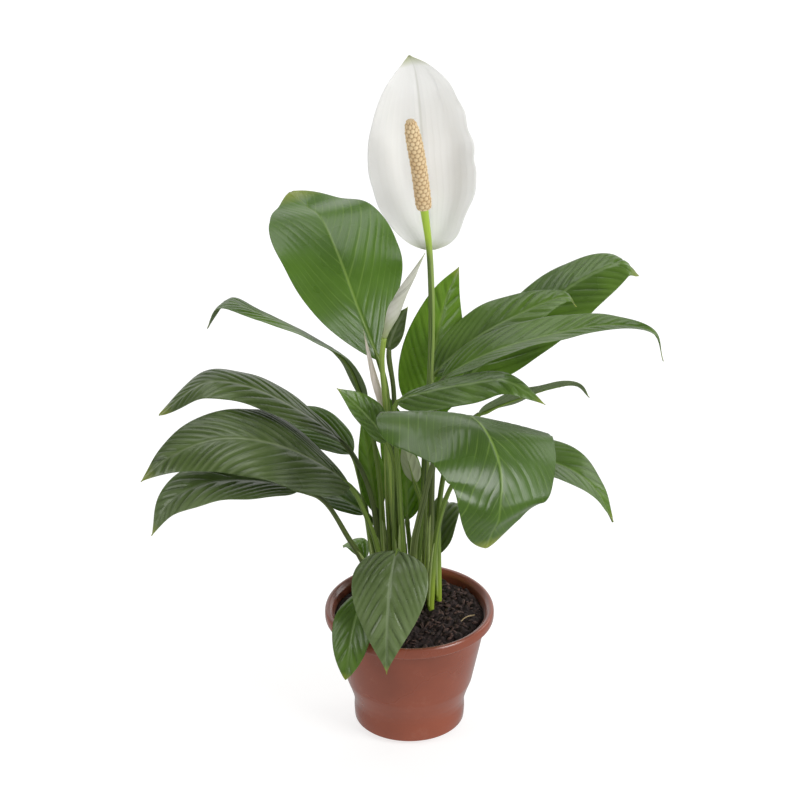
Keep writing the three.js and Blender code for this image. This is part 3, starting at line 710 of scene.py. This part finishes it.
def petiole_surface(leaf, spine, soil, joint):
    """The petiole, and the midrib that it runs on into under the blade: a round tube that narrows
    from the sheath to the joint, swells a little there, and then thins away to the tip."""
    stalk = mix(soil, joint, np.linspace(0.02, 1, 40))
    rib = mix(joint, 1, np.linspace(0.02, 0.95, 40))
    share = np.concatenate([[0, soil], stalk, rib])
    on_stalk = np.clip((share - soil) / (joint - soil), 0, 1)
    on_blade = np.clip((share - joint) / (1 - joint), 0, 1)
    slim = min(1, leaf["width"] / 46)
    radius = mix(SHEATH_RADIUS, PETIOLE_RADIUS, smooth(0, 0.9, on_stalk))
    radius = radius * (1 + 0.14 * np.exp(-((on_stalk - 0.95) / 0.04) ** 2) * (on_blade == 0))
    rib_radius = mix(PETIOLE_RADIUS, 0.35, on_blade ** 0.55) * slim ** smooth(0, 0.3, on_blade)
    radius = np.where(on_blade > 0, rib_radius, radius)
    lift = -radius * smooth(0, 0.08, on_blade) - 0.6 * smooth(0, 0.1, on_blade)
    roll = leaf["roll"][0] * smooth(0.4, 1, on_stalk)
    roll = np.where(on_blade > 0, mix(*leaf["roll"], on_blade), roll)
    return tube(spine, share, radius, sides=14, finish=PETIOLE, lift=lift, roll=roll,
                flat=mix(0.85, 1, on_stalk), twist=leaf["twist"] * on_blade)


def sheath_wing(leaf, spine, soil, joint, sign):
    """One wing of a petiole's sheath: a thin ribbon that stands up from the side of the petiole
    and leans in over its channel. It is 3.4 sin(pi t)^0.5 mm wide, where t runs from 0.12 at its
    foot to 1 at its end."""
    along = np.linspace(0, 1, 34)
    share = mix(soil, mix(soil, joint, leaf["sheath"]), along)
    on_stalk = (share - soil) / (joint - soil)
    radius = mix(SHEATH_RADIUS, PETIOLE_RADIUS, smooth(0, 0.9, on_stalk))[:, None]
    width = (WING_WIDTH * np.sqrt(np.sin(np.pi * mix(0.12, 1, along))) + 0.05)[:, None]
    up = np.linspace(0, 1, 6)
    thin = WING_THICKNESS * (1 - 0.7 * up)
    outer = sign * (radius * 0.96 + 0.5 * np.sin(np.pi * up) - 0.45 * width * up ** 2)
    above = radius * 0.1 + width * up
    across = np.concatenate([outer, (outer - sign * thin)[:, ::-1]], 1)
    above = np.concatenate([above, above[:, ::-1]], 1)
    points = closed_ends(carry(spine, share, across, above))
    around = np.concatenate([up, up[::-1], up[:1]])
    strip = pairs(around, ended(along)[:, None])
    return Surface(points, WING, wrap=True, flip=sign > 0, strip=strip)


def add_leaf(leaf, number, skins, backs, petiole_skin, wing_skin):
    """One leaf: its blade, its petiole and, where it has a sheath, the sheath's two wings."""
    spine = Spine(leaf["petiole"] + leaf["blade"], leaf["azimuth"])
    soil = spine.share_at(1)
    joint = spine.share_at(len(leaf["petiole"]))
    surfaces = [blade_surface(leaf, spine, joint, number), petiole_surface(leaf, spine, soil, joint)]
    if leaf["sheath"]:
        surfaces += [sheath_wing(leaf, spine, soil, joint, sign) for sign in (-1, 1)]
    skin = leaf["skin"]
    materials = [skins[skin], backs["young" if skin == "young" else "grown"], petiole_skin, wing_skin]
    add_piece(leaf["name"] + "_piece", surfaces, materials, leaf["slot"], leaf["name"])


def add_leaves():
    """All leaves. Each third petiole has the darker skin of one that grew in the shade."""
    skins = {skin: leaf_blade_material("leaf_cuticle_" + skin, *colours) for skin, colours in {
        # The bright skin is lighter than these leaves' own green: it paints light onto the leaves inside
        # and at the back of the plant, which stand in shade.
        "bright": ("#568013", "#6f9924", "#9ab95a", "#93b533"),
        "smooth": ("#42660f", "#517719", "#8fae50", "#86a82f", "#8fae50", 0.03),
        "large": ("#385510", "#456618", "#8fae50", "#6f9226", "#8fae50", 0.03),
        "mid": ("#3f5c14", "#55761e", "#8ba760", "#7a9c30"),
        "deep": ("#394b1d", "#51662d", "#929f76", "#6c8c2e", "#2a3a12", 0.3),
        # The pale skin's greyed green is partly these leaves' own paler colour and partly a painted grey
        # sheen.
        "pale": ("#566a37", "#6e814f", "#99a883", "#8aa04a", "#2a3a12", 0.25),
        "young": ("#9fae7c", "#bcc69d", "#d3d9bd", "#bccb8a", "#8fa06c"),
    }.items()}
    backs = {
        "grown": leaf_back_material("leaf_underside", "#667850", "#8a9a6c", "#8aa545"),
        "young": leaf_back_material("young_leaf_underside", "#a3ad88", "#bcc4a2", "#bccb8a"),
    }
    petiole_skins = [stem_material("petiole_skin", "#3d5414", "#88a343"),
                     stem_material("shaded_petiole_skin", "#34421a", "#6a7a3c")]
    wing_skin = stem_material("sheath_membrane", "#869c4a", "#b9c88e")
    for number, leaf in enumerate(LEAVES):
        add_leaf({**PLAIN_LEAF, **leaf}, number, skins, backs, petiole_skins[number % 3 // 2], wing_skin)


add_leaves()


# ---------- flowers ----------
SPATHE = dict(width=92, fold=(-4, -2), droop=-0.26, wave=0.03, shoulder=0.52, taper=0.74)
SPATHE_PATH = [(17, 34.3, 452), (16, 42, 482), (11, 47, 527), (9, 47, 568), (6, 42, 602), (3, 36, 622),
               (-1, 33, 633)]
SPADIX_PATH = [(11.96, 25.95, 496.4), (7, 20, 540), (0, 14, 583)]
# Ribs on each half, 5.4 mm apart where it is widest, and streaks round a closed bract, 5 mm apart.
SPATHE_RIBS = 8.5
BRACT_STREAKS = 7
# The height of its lapped edge, as a share of its radius.
BRACT_LAP = 0.16
SPADIX_RADIUS = 6.5
FLORETS_AROUND = 9
FLORETS_ALONG = 22
FLORET_HEIGHT = 1.2
FLOWER_STEM = [(9, 16, 93), (9, 16, 116), (13, 22, 212), (17, 26, 310), (19, 29, 378), (17, 32, 449),
               (12, 26, 496)]
BUD_STEM = [(-7, 14, 93), (-7, 14, 116), (-16, 17, 220), (-22, 18, 322), (-24, 18, 354), (-22, 17, 376)]
YOUNG_STEM = [(-15, 16, 93), (-15, 16, 116), (-20, 23, 220), (-21, 24, 291)]
BUD_PATH = [(-21.8, 16.9, 376.8), (-16, 16, 395), (-7, 14, 420), (4, 12, 442), (13, 10, 461)]
YOUNG_PATH = [(-21.1, 24, 291.8), (-27, 24, 318), (-33, 24, 343), (-40, 24, 380)]


def spathe_surface():
    """The open bract: across = half x cos(fold), above = half (|x| sin(fold) - droop x^2), which
    cups it forwards, with a shallow fold down its middle, fine ribs that follow the margin, a
    hollow on the left, slow swells and a pleat on the right, and a margin that waves. Its right
    side is scalloped, and is fuller near the tip and narrower near the foot than its left."""
    rows, columns = 150, 65
    spine = Spine(SPATHE_PATH, azimuth=80)
    share = np.linspace(0, 1, rows + 1)
    step = np.linspace(-1, 1, columns)
    along = share[:, None]
    side = np.abs(step)
    half, fold, above = cupped(SPATHE, along, step)
    scallop = 0.02 * np.sin(38 * along) * smooth(0.35, 0.5, along) * smooth(0.97, 0.8, along)
    fuller = 0.04 + 0.3 * smooth(0.6, 1, along) - 0.15 * np.exp(-((along - 0.15) / 0.09) ** 2)
    across = half * step * (1 + (fuller + scallop) * (step > 0))
    crease = -np.exp(-(across / 2.2) ** 2) * smooth(0, 0.15, along)
    ribs = 0.03 * np.sin(2 * np.pi * side * SPATHE_RIBS + 0.4)
    ribs = ribs * smooth(0.02, 0.1, side) * smooth(3, 14, half)
    edge = 0.9 * side ** 5 * np.sin(2 * np.pi * 6.3 * along + 1.3 * np.sign(step))
    hollow = -4 * np.exp(-((step + 0.42) / 0.22) ** 2 - ((along - 0.45) / 0.22) ** 2)
    swell = 1.1 * np.sin(9 * step + 1.5 * along) * smooth(0.1, 0.6, step)
    swell = swell * np.sin(np.pi * along)
    pleat = 1.1 * np.exp(-((step - 0.5 - 0.3 * (along - 0.7)) / 0.05) ** 2)
    pleat = pleat * smooth(0.55, 0.75, along) * smooth(0.99, 0.85, along)
    above = above + crease + ribs + edge * smooth(0.05, 0.2, along) + hollow + swell - pleat
    skin = closed_ends(both_skins(spine, share, across * np.cos(fold), above, side))
    around = np.concatenate([step, step[::-1], step[:1]])
    veins = pairs(around, ended(along))
    return Surface(skin, wrap=True, veins=veins)


def spathe_material():
    """A bract's soft white skin: matt, faintly ribbed lengthwise, thin enough to glow, greenish
    along its middle, at its tip and at its foot."""
    material, add = new_material("white_bract")
    across, along = map_parts(add, "veins")
    rib = line_mask(add, add("Math", {0: across, 1: SPATHE_RIBS}, operation="MULTIPLY"), 0.25)
    middle = near_zero(add, across, 0.004, 0.05)
    tip = add("MapRange", {0: along, 1: 0.94, 2: 1})
    foot = add("MapRange", {0: along, 1: 0.05, 2: 0, 4: 0.5})
    green = add("Math", {0: tip, 1: foot}, operation="MAXIMUM")
    cloud = add("MapRange", {0: patches(add, 38.5), 1: 0.3, 2: 0.7})
    colour = paint(add, "#f6f6f4", [
        (cloud, 1, "#fcfcfb"), (rib, 0.04, "#c6c9bc"), (middle, 0.4, "#bcbfb0"), (green, 1, "#a9b26f"),
    ])
    finish_material(add, colour, 0.5, (rib, 0.35, 0.0003), ("#f8f8f6", 0.35), IOR=1.4)
    return material


def spadix_surface():
    """The spike: radius = body + floret, where body = 6.5 sqrt(1 - (|s - 0.4| / 0.62)^6) and the
    florets are domes on a lattice of 9 round the spike whose rows are set half a floret apart.
    A dome is 1.2 sqrt(1 - (d / 0.56)^2) at d floret widths from its middle, with a small stigma."""
    sides, steps = FLORETS_AROUND * 9, FLORETS_ALONG * 8
    spine = Spine(SPADIX_PATH)
    share = np.linspace(0, 1, steps + 1)
    angle = full_turn(sides)
    body = SPADIX_RADIUS * np.sqrt(np.maximum(1 - (np.abs(share - 0.4) / 0.62) ** 6, 0.02))[:, None]
    row = share[:, None] * FLORETS_ALONG
    turn = angle[None, :] / (2 * np.pi) * FLORETS_AROUND
    nearest = np.full(np.broadcast_shapes(row.shape, turn.shape), 9.0)
    for parity in (0, 1):
        across = (turn - 0.5 * parity + 0.5) % 1 - 0.5
        along = (row - parity + 1) % 2 - 1
        nearest = np.minimum(nearest, np.hypot(across, along * 0.87))
    dome = FLORET_HEIGHT * np.sqrt(np.maximum(1 - (nearest / 0.56) ** 2, 0))
    stigma = 0.28 * np.exp(-(nearest / 0.13) ** 2)
    radius = body + (dome + stigma - FLORET_HEIGHT / 2) * smooth(0, 0.02, share)[:, None]
    radius = radius * smooth(-0.004, 0.006, 1 - share)[:, None]
    points = closed_ends(carry(spine, share, radius * np.cos(angle), radius * np.sin(angle)))
    place = ended(np.concatenate([nearest, nearest[:, :1]], 1))
    veins = pairs(place, ended(share)[:, None])
    return Surface(points, wrap=True, flip=True, veins=veins)


def spadix_material():
    """Ripe florets: matt cream domes, browner in the grooves between them and paler at each
    stigma."""
    material, add = new_material("spadix_florets")
    away, _ = map_parts(add, "veins")
    groove = add("MapRange", {0: away, 1: 0.34, 2: 0.54})
    stigma = near_zero(add, away, 0.03, 0.13)
    cloud = add("MapRange", {0: patches(add, 11.1), 1: 0.3, 2: 0.7})
    colour = paint(add, "#d0b285", [
        (cloud, 1, "#e3cda4"), (groove, 0.85, "#8f6c45"), (stigma, 0.5, "#f0e3c6"),
    ])
    finish_material(add, colour, 0.62, (patches(add, 1.11), 0.3, 0.0003), IOR=1.4)
    return material


def rolled_bract(path, greatest, start_radius, fullest, turns):
    """A closed bract: a spindle whose radius swells to its fullest place and then falls as
    1 - t^1.3, with the lapped edge of the roll as a step that winds round it in those turns."""
    spine = Spine(path)
    share = np.linspace(0, 1, 120)
    sides = 48
    swell = np.where(share < fullest, mix(start_radius, greatest, smooth(0, fullest, share)),
                     greatest * (1 - (np.maximum(share - fullest, 0) / (1 - fullest)) ** 1.3))
    swell = np.maximum(swell, 0.3)[:, None]
    angle = full_turn(sides)
    winding = (angle / (2 * np.pi) + turns * share[:, None]) % 1
    radius = swell * (1 + BRACT_LAP * (winding - 0.5) * smooth(0, 0.15, share)[:, None])
    points = closed_ends(carry(spine, share, radius * np.cos(angle), radius * np.sin(angle)))
    edge = ended(np.concatenate([winding, winding[:, :1]], 1))
    veins = pairs(edge, ended(share)[:, None])
    return Surface(points, wrap=True, flip=True, veins=veins)


def rolled_bract_material(name, shade, light, glow_share):
    """A closed bract's skin: greenish white or cream and satin, green at its foot and tip and grey
    along the lapped edge."""
    material, add = new_material(name)
    winding, along = map_parts(add, "veins")
    edge = line_mask(add, winding, 0.1)
    streak = line_mask(add, add("Math", {0: winding, 1: BRACT_STREAKS}, operation="MULTIPLY"), 0.3)
    foot = add("MapRange", {0: along, 1: 0.3, 2: 0})
    tip = add("MapRange", {0: along, 1: 0.82, 2: 1})
    green = add("Math", {0: foot, 1: tip}, operation="MAXIMUM")
    cloud = add("MapRange", {0: patches(add, 16.7), 1: 0.3, 2: 0.7})
    colour = paint(add, shade, [
        (cloud, 1, light), (streak, 0.18, "#a9b08c"), (edge, 0.5, "#8f9480"), (green, 0.8, "#93a650"),
    ])
    finish_material(add, colour, 0.45, (streak, 0.3, 0.0002), (light, glow_share), IOR=1.4)
    return material


def flower_stem_surface(path, places, radii, steps):
    """A stem's tube, whose radius runs in straight stretches between the places given."""
    spine = Spine(path)
    soil = spine.share_at(1)
    share = np.concatenate([[0], mix(soil, 1, np.linspace(0, 1, steps))])
    return tube(spine, share, np.interp(share, places, radii), sides=24)


def add_flowers():
    """The open flower, the closed bud and the younger one, each on its own stem."""
    bract = rolled_bract_material("rolled_bract", "#cfd0c0", "#e2e1d6", 0.2)
    # The younger bract's lighter cream is partly its own colour and partly light painted onto a bract that
    # stands in shade.
    young_bract = rolled_bract_material("young_rolled_bract", "#f0e6dc", "#faf3ec", 0.35)
    # The flower stem has light painted on its side towards the key light.
    stem = stem_material("flower_stem_skin", "#334c16", "#8ea458", "#a3c043", 0.87, painted_lit_side=0.8)
    bud_stem = stem_material("bud_stem_skin", "#5d7d2a", "#a4b35c", "#93ab4a", 0.9)
    flower_radii = ((0, 0.2, 0.6, 0.9, 1), (3.3, 3.2, 2.8, 2.7, 3.6))
    bud_radii = ((0, 0.3, 1), (3, 2.4, 2.3))
    young_radii = ((0, 0.5, 1), (2.6, 1.9, 2))
    for name, slot, skin, surface in (
            ("flower_stem", "stem", stem, flower_stem_surface(FLOWER_STEM, *flower_radii, 90)),
            ("flower_spathe", "spathe", spathe_material(), spathe_surface()),
            ("flower_spadix", "spadix", spadix_material(), spadix_surface()),
            ("bud_stem", "stem", bud_stem, flower_stem_surface(BUD_STEM, *bud_radii, 70)),
            ("bud_spathe", "closed_spathe", bract, rolled_bract(BUD_PATH, 5.6, 2.4, 0.3, 1.3)),
            ("young_stem", "stem", bud_stem, flower_stem_surface(YOUNG_STEM, *young_radii, 60)),
            ("young_spathe", "closed_spathe", young_bract, rolled_bract(YOUNG_PATH, 3.3, 2, 0.35, 1.1))):
        add_piece(name + "_piece", [surface], [skin], slot, name)


add_flowers()


# ---------- pot ----------
POT_HEIGHT = 116
RIM_RADIUS = 75
RIM_DROP = 9.5
RIM_SHOULDER = 3.2
EDGE_ROUNDING = 1.6
BAND_RADIUS = 49
FOOT_RADIUS = 42.5
FOOT_HEIGHT = 3.5
POT_WALL = 1.5
FLOOR_THICKNESS = 2.5
FLOOR_RADIUS = 39.2
CLEARANCE = 0.3
DRAIN_HOLES = 6
DRAIN_RADIUS = 4
DRAIN_CIRCLE = 26
FOOT_NOTCHES = 8
NOTCH_WIDTH = 9
NOTCH_DEPTH = 3
NOTCH_RADIUS = FOOT_RADIUS + 0.3
WALL = [(BAND_RADIUS - 0.3, FOOT_HEIGHT + 0.6), (BAND_RADIUS + 0.3, 13), (BAND_RADIUS, 22), (50.2, 28.5),
        (53, 37), (56, 45), (64.4, 86), (68.9, POT_HEIGHT - RIM_SHOULDER)]


def rounded(corners, radius, fineness=4):
    """A profile whose corners are turned to quadratic curves that start a radius away from them,
    or half way to the next corner where that is nearer."""
    corners = np.array(corners, float)
    middle = corners[1:-1]
    back = corners[:-2] - middle
    on = corners[2:] - middle
    reach = [np.minimum(radius, np.linalg.norm(way, axis=1) / 2)[:, None] for way in (back, on)]
    start = middle + back / np.linalg.norm(back, axis=1)[:, None] * reach[0]
    end = middle + on / np.linalg.norm(on, axis=1)[:, None] * reach[1]
    t = np.linspace(0, 1, fineness)[None, :, None]
    curve = (1 - t) ** 2 * start[:, None] + 2 * t * (1 - t) * middle[:, None] + t ** 2 * end[:, None]
    return np.concatenate([corners[:1], curve.reshape(-1, 2), corners[-1:]])


def revolve(profile, sides, centre=(0, 0)):
    """(radius, height) points turned about a vertical axis: (r cos t, r sin t, height)."""
    angle = full_turn(sides)
    radius, height = np.asarray(profile, float).T
    return np.stack(np.broadcast_arrays(centre[0] + radius[:, None] * np.cos(angle),
                                        centre[1] + radius[:, None] * np.sin(angle),
                                        height[:, None]), -1)


def pot_profile():
    """Half of the pot's section: from the middle of the foot up the outside, over the rim, which
    hangs outside the wall, and down the inside to the middle of the floor."""
    rim_inside = RIM_RADIUS - POT_WALL - 0.3
    rim_bottom = POT_HEIGHT - RIM_DROP
    shoulder = POT_HEIGHT - RIM_SHOULDER
    lip = POT_HEIGHT - 0.9
    inner_wall = [(radius - POT_WALL, height) for radius, height in reversed(WALL)]
    corners = [
        (0, 0), (FOOT_RADIUS, 0), (FOOT_RADIUS + 0.5, FOOT_HEIGHT), *WALL,
        (rim_inside, shoulder), (rim_inside, rim_bottom + 0.3), (RIM_RADIUS - 0.6, rim_bottom),
        (RIM_RADIUS, rim_bottom + 1.1), (RIM_RADIUS, shoulder), (RIM_RADIUS - 0.8, lip),
        (RIM_RADIUS - 1.8, POT_HEIGHT), (RIM_RADIUS - 3.8, POT_HEIGHT), (RIM_RADIUS - 5, lip),
        *inner_wall, (39.5, FOOT_HEIGHT + 0.6), (FLOOR_RADIUS, FLOOR_THICKNESS), (0, FLOOR_THICKNESS),
    ]
    return rounded(corners, EDGE_ROUNDING)


def cut_out(piece, surfaces):
    """Cuts closed surfaces out of a piece with an exact Boolean, and keeps the result as its mesh."""
    cutter = add_piece("cutter", surfaces, [], "pot")
    modifier = piece.modifiers.new("cut", "BOOLEAN")
    modifier.object = cutter
    modifier.solver = "EXACT"
    graph = bpy.context.evaluated_depsgraph_get()
    mesh = bpy.data.meshes.new_from_object(piece.evaluated_get(graph))
    piece.modifiers.clear()
    piece.data = mesh
    bpy.data.objects.remove(cutter)


def pot_material():
    """Injection-moulded polypropylene coloured like terracotta: satin with a thin gloss, a slight
    haze where the colour has not mixed evenly, and faint rubs and dust that pale it where the
    light grazes it."""
    material, add = new_material("moulded_polypropylene")
    cloud = patches(add, 111, 4)
    haze = add("MapRange", {0: cloud, 1: 0.35, 2: 0.65})
    dust = add("MapRange", {0: patches(add, 16.7, 6, 0.7), 1: 0.58, 2: 0.8})
    colour = paint(add, "#7c412f", [(haze, 1, "#914b34"), (dust, 0.35, "#a2705d")])
    rough = add("MapRange", {0: cloud, 1: 0.3, 2: 0.7, 3: 0.24, 4: 0.32})
    finish_material(add, colour, rough, (patches(add, 1.43, 2), 0.25, 0.0002), IOR=1.49,
                    Coat_Weight=0.5, Coat_Roughness=0.1, Sheen_Weight=0.4, Sheen_Roughness=0.3)
    return material


def drain_hole(number):
    """A cylinder through the pot's floor."""
    angle = 2 * math.pi * number / DRAIN_HOLES
    centre = (DRAIN_CIRCLE * math.cos(angle), DRAIN_CIRCLE * math.sin(angle))
    profile = [(0, -3), (DRAIN_RADIUS, -3), (DRAIN_RADIUS, 5), (0, 5)]
    return Surface(revolve(profile, sides=28, centre=centre), wrap=True, flip=True)


def foot_notch(number):
    """A box over the edge of the foot."""
    angle = 2 * math.pi * (number + 0.5) / FOOT_NOTCHES
    outward = np.array([math.cos(angle), math.sin(angle), 0])
    along = np.array([-math.sin(angle), math.cos(angle), 0])
    near, far = NOTCH_RADIUS - NOTCH_DEPTH / 2, NOTCH_RADIUS + NOTCH_DEPTH / 2
    ring = np.array([outward * reach + along * side * NOTCH_WIDTH / 2
                     for reach, side in ((near, -1), (far, -1), (far, 1), (near, 1))])
    levels = [ring + np.array([0, 0, height]) for height in (-FOOT_HEIGHT - 0.4, FOOT_HEIGHT - 0.4)]
    return Surface(closed_ends(np.array(levels)), wrap=True, flip=True)


def add_pot():
    """The pot with its drain holes and foot notches cut out."""
    pot = add_piece("pot_piece", [Surface(revolve(pot_profile(), sides=144), wrap=True, flip=True)],
                    [pot_material()], "pot", "pot")
    cut_out(pot, [drain_hole(number) for number in range(DRAIN_HOLES)]
            + [foot_notch(number) for number in range(FOOT_NOTCHES)])


# ---------- potting mix ----------
SOIL_HEIGHT = 107.5
SOIL_MOUND = 4
LUMP_HEIGHT = 1.2
SOIL_RADIUS = 65.9
BARK_CHIPS = 340
DRAW_SEED = 11
# How many crumbs there are, and their least and greatest radius.
CRUMBS = [(900, 1.0, 2.6), (120, 2.5, 4.2)]
STRAW_PATH = [(44, -20, 110.5), (50, -12, 111.5), (58, -6, 110.3)]
STRAW_RADIUS = 0.55


def soil_height(x, y):
    """The height of the mix: a low mound with three slow waves across it."""
    lumps = (np.sin(0.37 * x + 0.9) * np.cos(0.33 * y) + 0.7 * np.sin(0.81 * x - 0.47 * y + 2)
             + 0.6 * np.cos(0.29 * x + 0.88 * y - 1))
    mound = SOIL_MOUND * (1 - (x ** 2 + y ** 2) / RIM_RADIUS ** 2)
    return SOIL_HEIGHT + mound + 0.6 * LUMP_HEIGHT * lumps


def crumbs(x, y, number, low, high, draw):
    """The height of crumbs that lie half sunk on a plane: the highest 0.8 sqrt(r^2 - d^2)."""
    height = np.zeros_like(x)
    radius = draw.uniform(low, high, number)
    angle = draw.uniform(0, 2 * np.pi, number)
    reach = SOIL_RADIUS * np.sqrt(draw.uniform(0, 1, number))
    for r, cx, cy in zip(radius, reach * np.cos(angle), reach * np.sin(angle)):
        inside = r * r - (x - cx) ** 2 - (y - cy) ** 2
        height = np.maximum(height, np.sqrt(np.maximum(inside, 0)) * 0.8)
    return height


def soil_surface(draw):
    """The mix as one closed body: a crumbly disc of rings, then down the pot's wall to its floor."""
    rings = SOIL_RADIUS * np.linspace(0, 1, 110)
    inside = [(radius - POT_WALL - CLEARANCE, height) for radius, height in reversed(WALL[:-1])]
    bottom = FLOOR_THICKNESS + CLEARANCE
    down = [*inside, (FLOOR_RADIUS, FOOT_HEIGHT + 0.9), (FLOOR_RADIUS - 0.2, bottom), (0, bottom)]
    profile = np.concatenate([np.stack([rings, 0 * rings + SOIL_HEIGHT], 1), down])
    points = revolve(profile, sides=300)
    x, y = points[:len(rings), :, 0], points[:len(rings), :, 1]
    top = soil_height(x, y) + sum(crumbs(x, y, *crumb, draw) for crumb in CRUMBS) - 1
    rim = smooth(SOIL_RADIUS, SOIL_RADIUS - 3, np.hypot(x, y))
    points[:len(rings), :, 2] = mix(SOIL_HEIGHT - 1.5, top, rim)
    return Surface(points, wrap=True)


def bark_chip(draw):
    """A flake of bark: an egg (a cos u cos v, b cos u sin v, c sin u) with a knobbly radius,
    turned at random and laid nearly flat on the mix."""
    u = np.linspace(-np.pi / 2, np.pi / 2, 5)[:, None]
    v = np.linspace(0, 2 * np.pi, 8)[None, :-1]
    size = draw.uniform((1.6, 1.0, 0.4), (4.6, 2.4, 1.1))
    knobs = draw.uniform(0.7, 1.25, (5, 7))
    knobs[[0, -1]] = 1
    egg = np.stack([np.cos(u) * np.cos(v), np.cos(u) * np.sin(v), np.sin(u) + 0 * v], -1)
    egg = egg * knobs[..., None] * size
    turn, tip, roll = draw.uniform(0, 2 * np.pi), draw.normal(0, 0.35), draw.normal(0, 0.35)
    spin = np.array(Matrix.Rotation(turn, 3, "Z") @ Matrix.Rotation(tip, 3, "Y")
                    @ Matrix.Rotation(roll, 3, "X"))
    reach = (SOIL_RADIUS - 5) * math.sqrt(draw.uniform())
    angle = draw.uniform(0, 2 * np.pi)
    x, y = reach * math.cos(angle), reach * math.sin(angle)
    centre = np.array([x, y, soil_height(x, y) + draw.uniform(0.2, 1.6)])
    return Surface(egg @ spin.T + centre, wrap=True)


def crumbly_material(name, dark, light, size, rough):
    """Damp peat or bark: nearly black where it is wet and brown where it has dried, in patches of
    the given size with finer specks in them, and matt."""
    material, add = new_material(name)
    dry = add("MapRange", {0: patches(add, size, 6, 0.7), 1: 0.42, 2: 0.68})
    grit = patches(add, size / 2.5, 4, 0.7)
    finish_material(add, paint(add, dark, [(dry, 1, light)]), rough, (grit, 0.8, 0.0008), IOR=1.4)
    return material


def add_potting_mix():
    """The mix, the bark chips that lie on it, and one dry straw."""
    draw = np.random.default_rng(DRAW_SEED)
    peat = crumbly_material("damp_peat", "#1c1515", "#453633", 3.33, 0.85)
    bark = crumbly_material("pine_bark", "#251b19", "#6b5047", 5.56, 0.7)
    straw = crumbly_material("dry_straw", "#8d7a5a", "#b8a37c", 8.33, 0.6)
    add_piece("potting_mix_piece", [soil_surface(draw)], [peat], "potting_mix", "potting_mix")
    add_piece("bark_chips", [bark_chip(draw) for _ in range(BARK_CHIPS)], [bark], "potting_mix")
    path = Spine(STRAW_PATH)
    add_piece("straw", [tube(path, np.linspace(0, 1, 16), STRAW_RADIUS, sides=7)], [straw], "potting_mix")


add_pot()
add_potting_mix()


# ---------- floor ----------
# Metres each way.
FLOOR_REACH = 6


def add_floor():
    """A pale matt floor, wide enough to fill the view, lit from below as on a light table, so that
    only a faint shadow shows and little light is thrown back up under the leaves. The glossy
    finishes don't mirror it."""
    mesh = bpy.data.meshes.new("studio_floor")
    corners = [(x * FLOOR_REACH, y * FLOOR_REACH, 0) for x, y in ((-1, -1), (1, -1), (1, 1), (-1, 1))]
    mesh.from_pydata(corners, [], [(0, 1, 2, 3)])
    floor = bpy.data.objects.new("studio_floor", mesh)
    floor.visible_glossy = False
    scene.collection.objects.link(floor)
    material, add = new_material("pale_paper_sweep")
    finish_material(add, linear("#a8a8a7"), 0.9, Emission_Color=linear("#ffffff"), Emission_Strength=0.72)
    mesh.materials.append(material)
    floor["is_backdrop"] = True


add_floor()

boxes = {"cad": cad_box, "visual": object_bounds()}
{key: [list(corner) for corner in box] for key, box in boxes.items()}
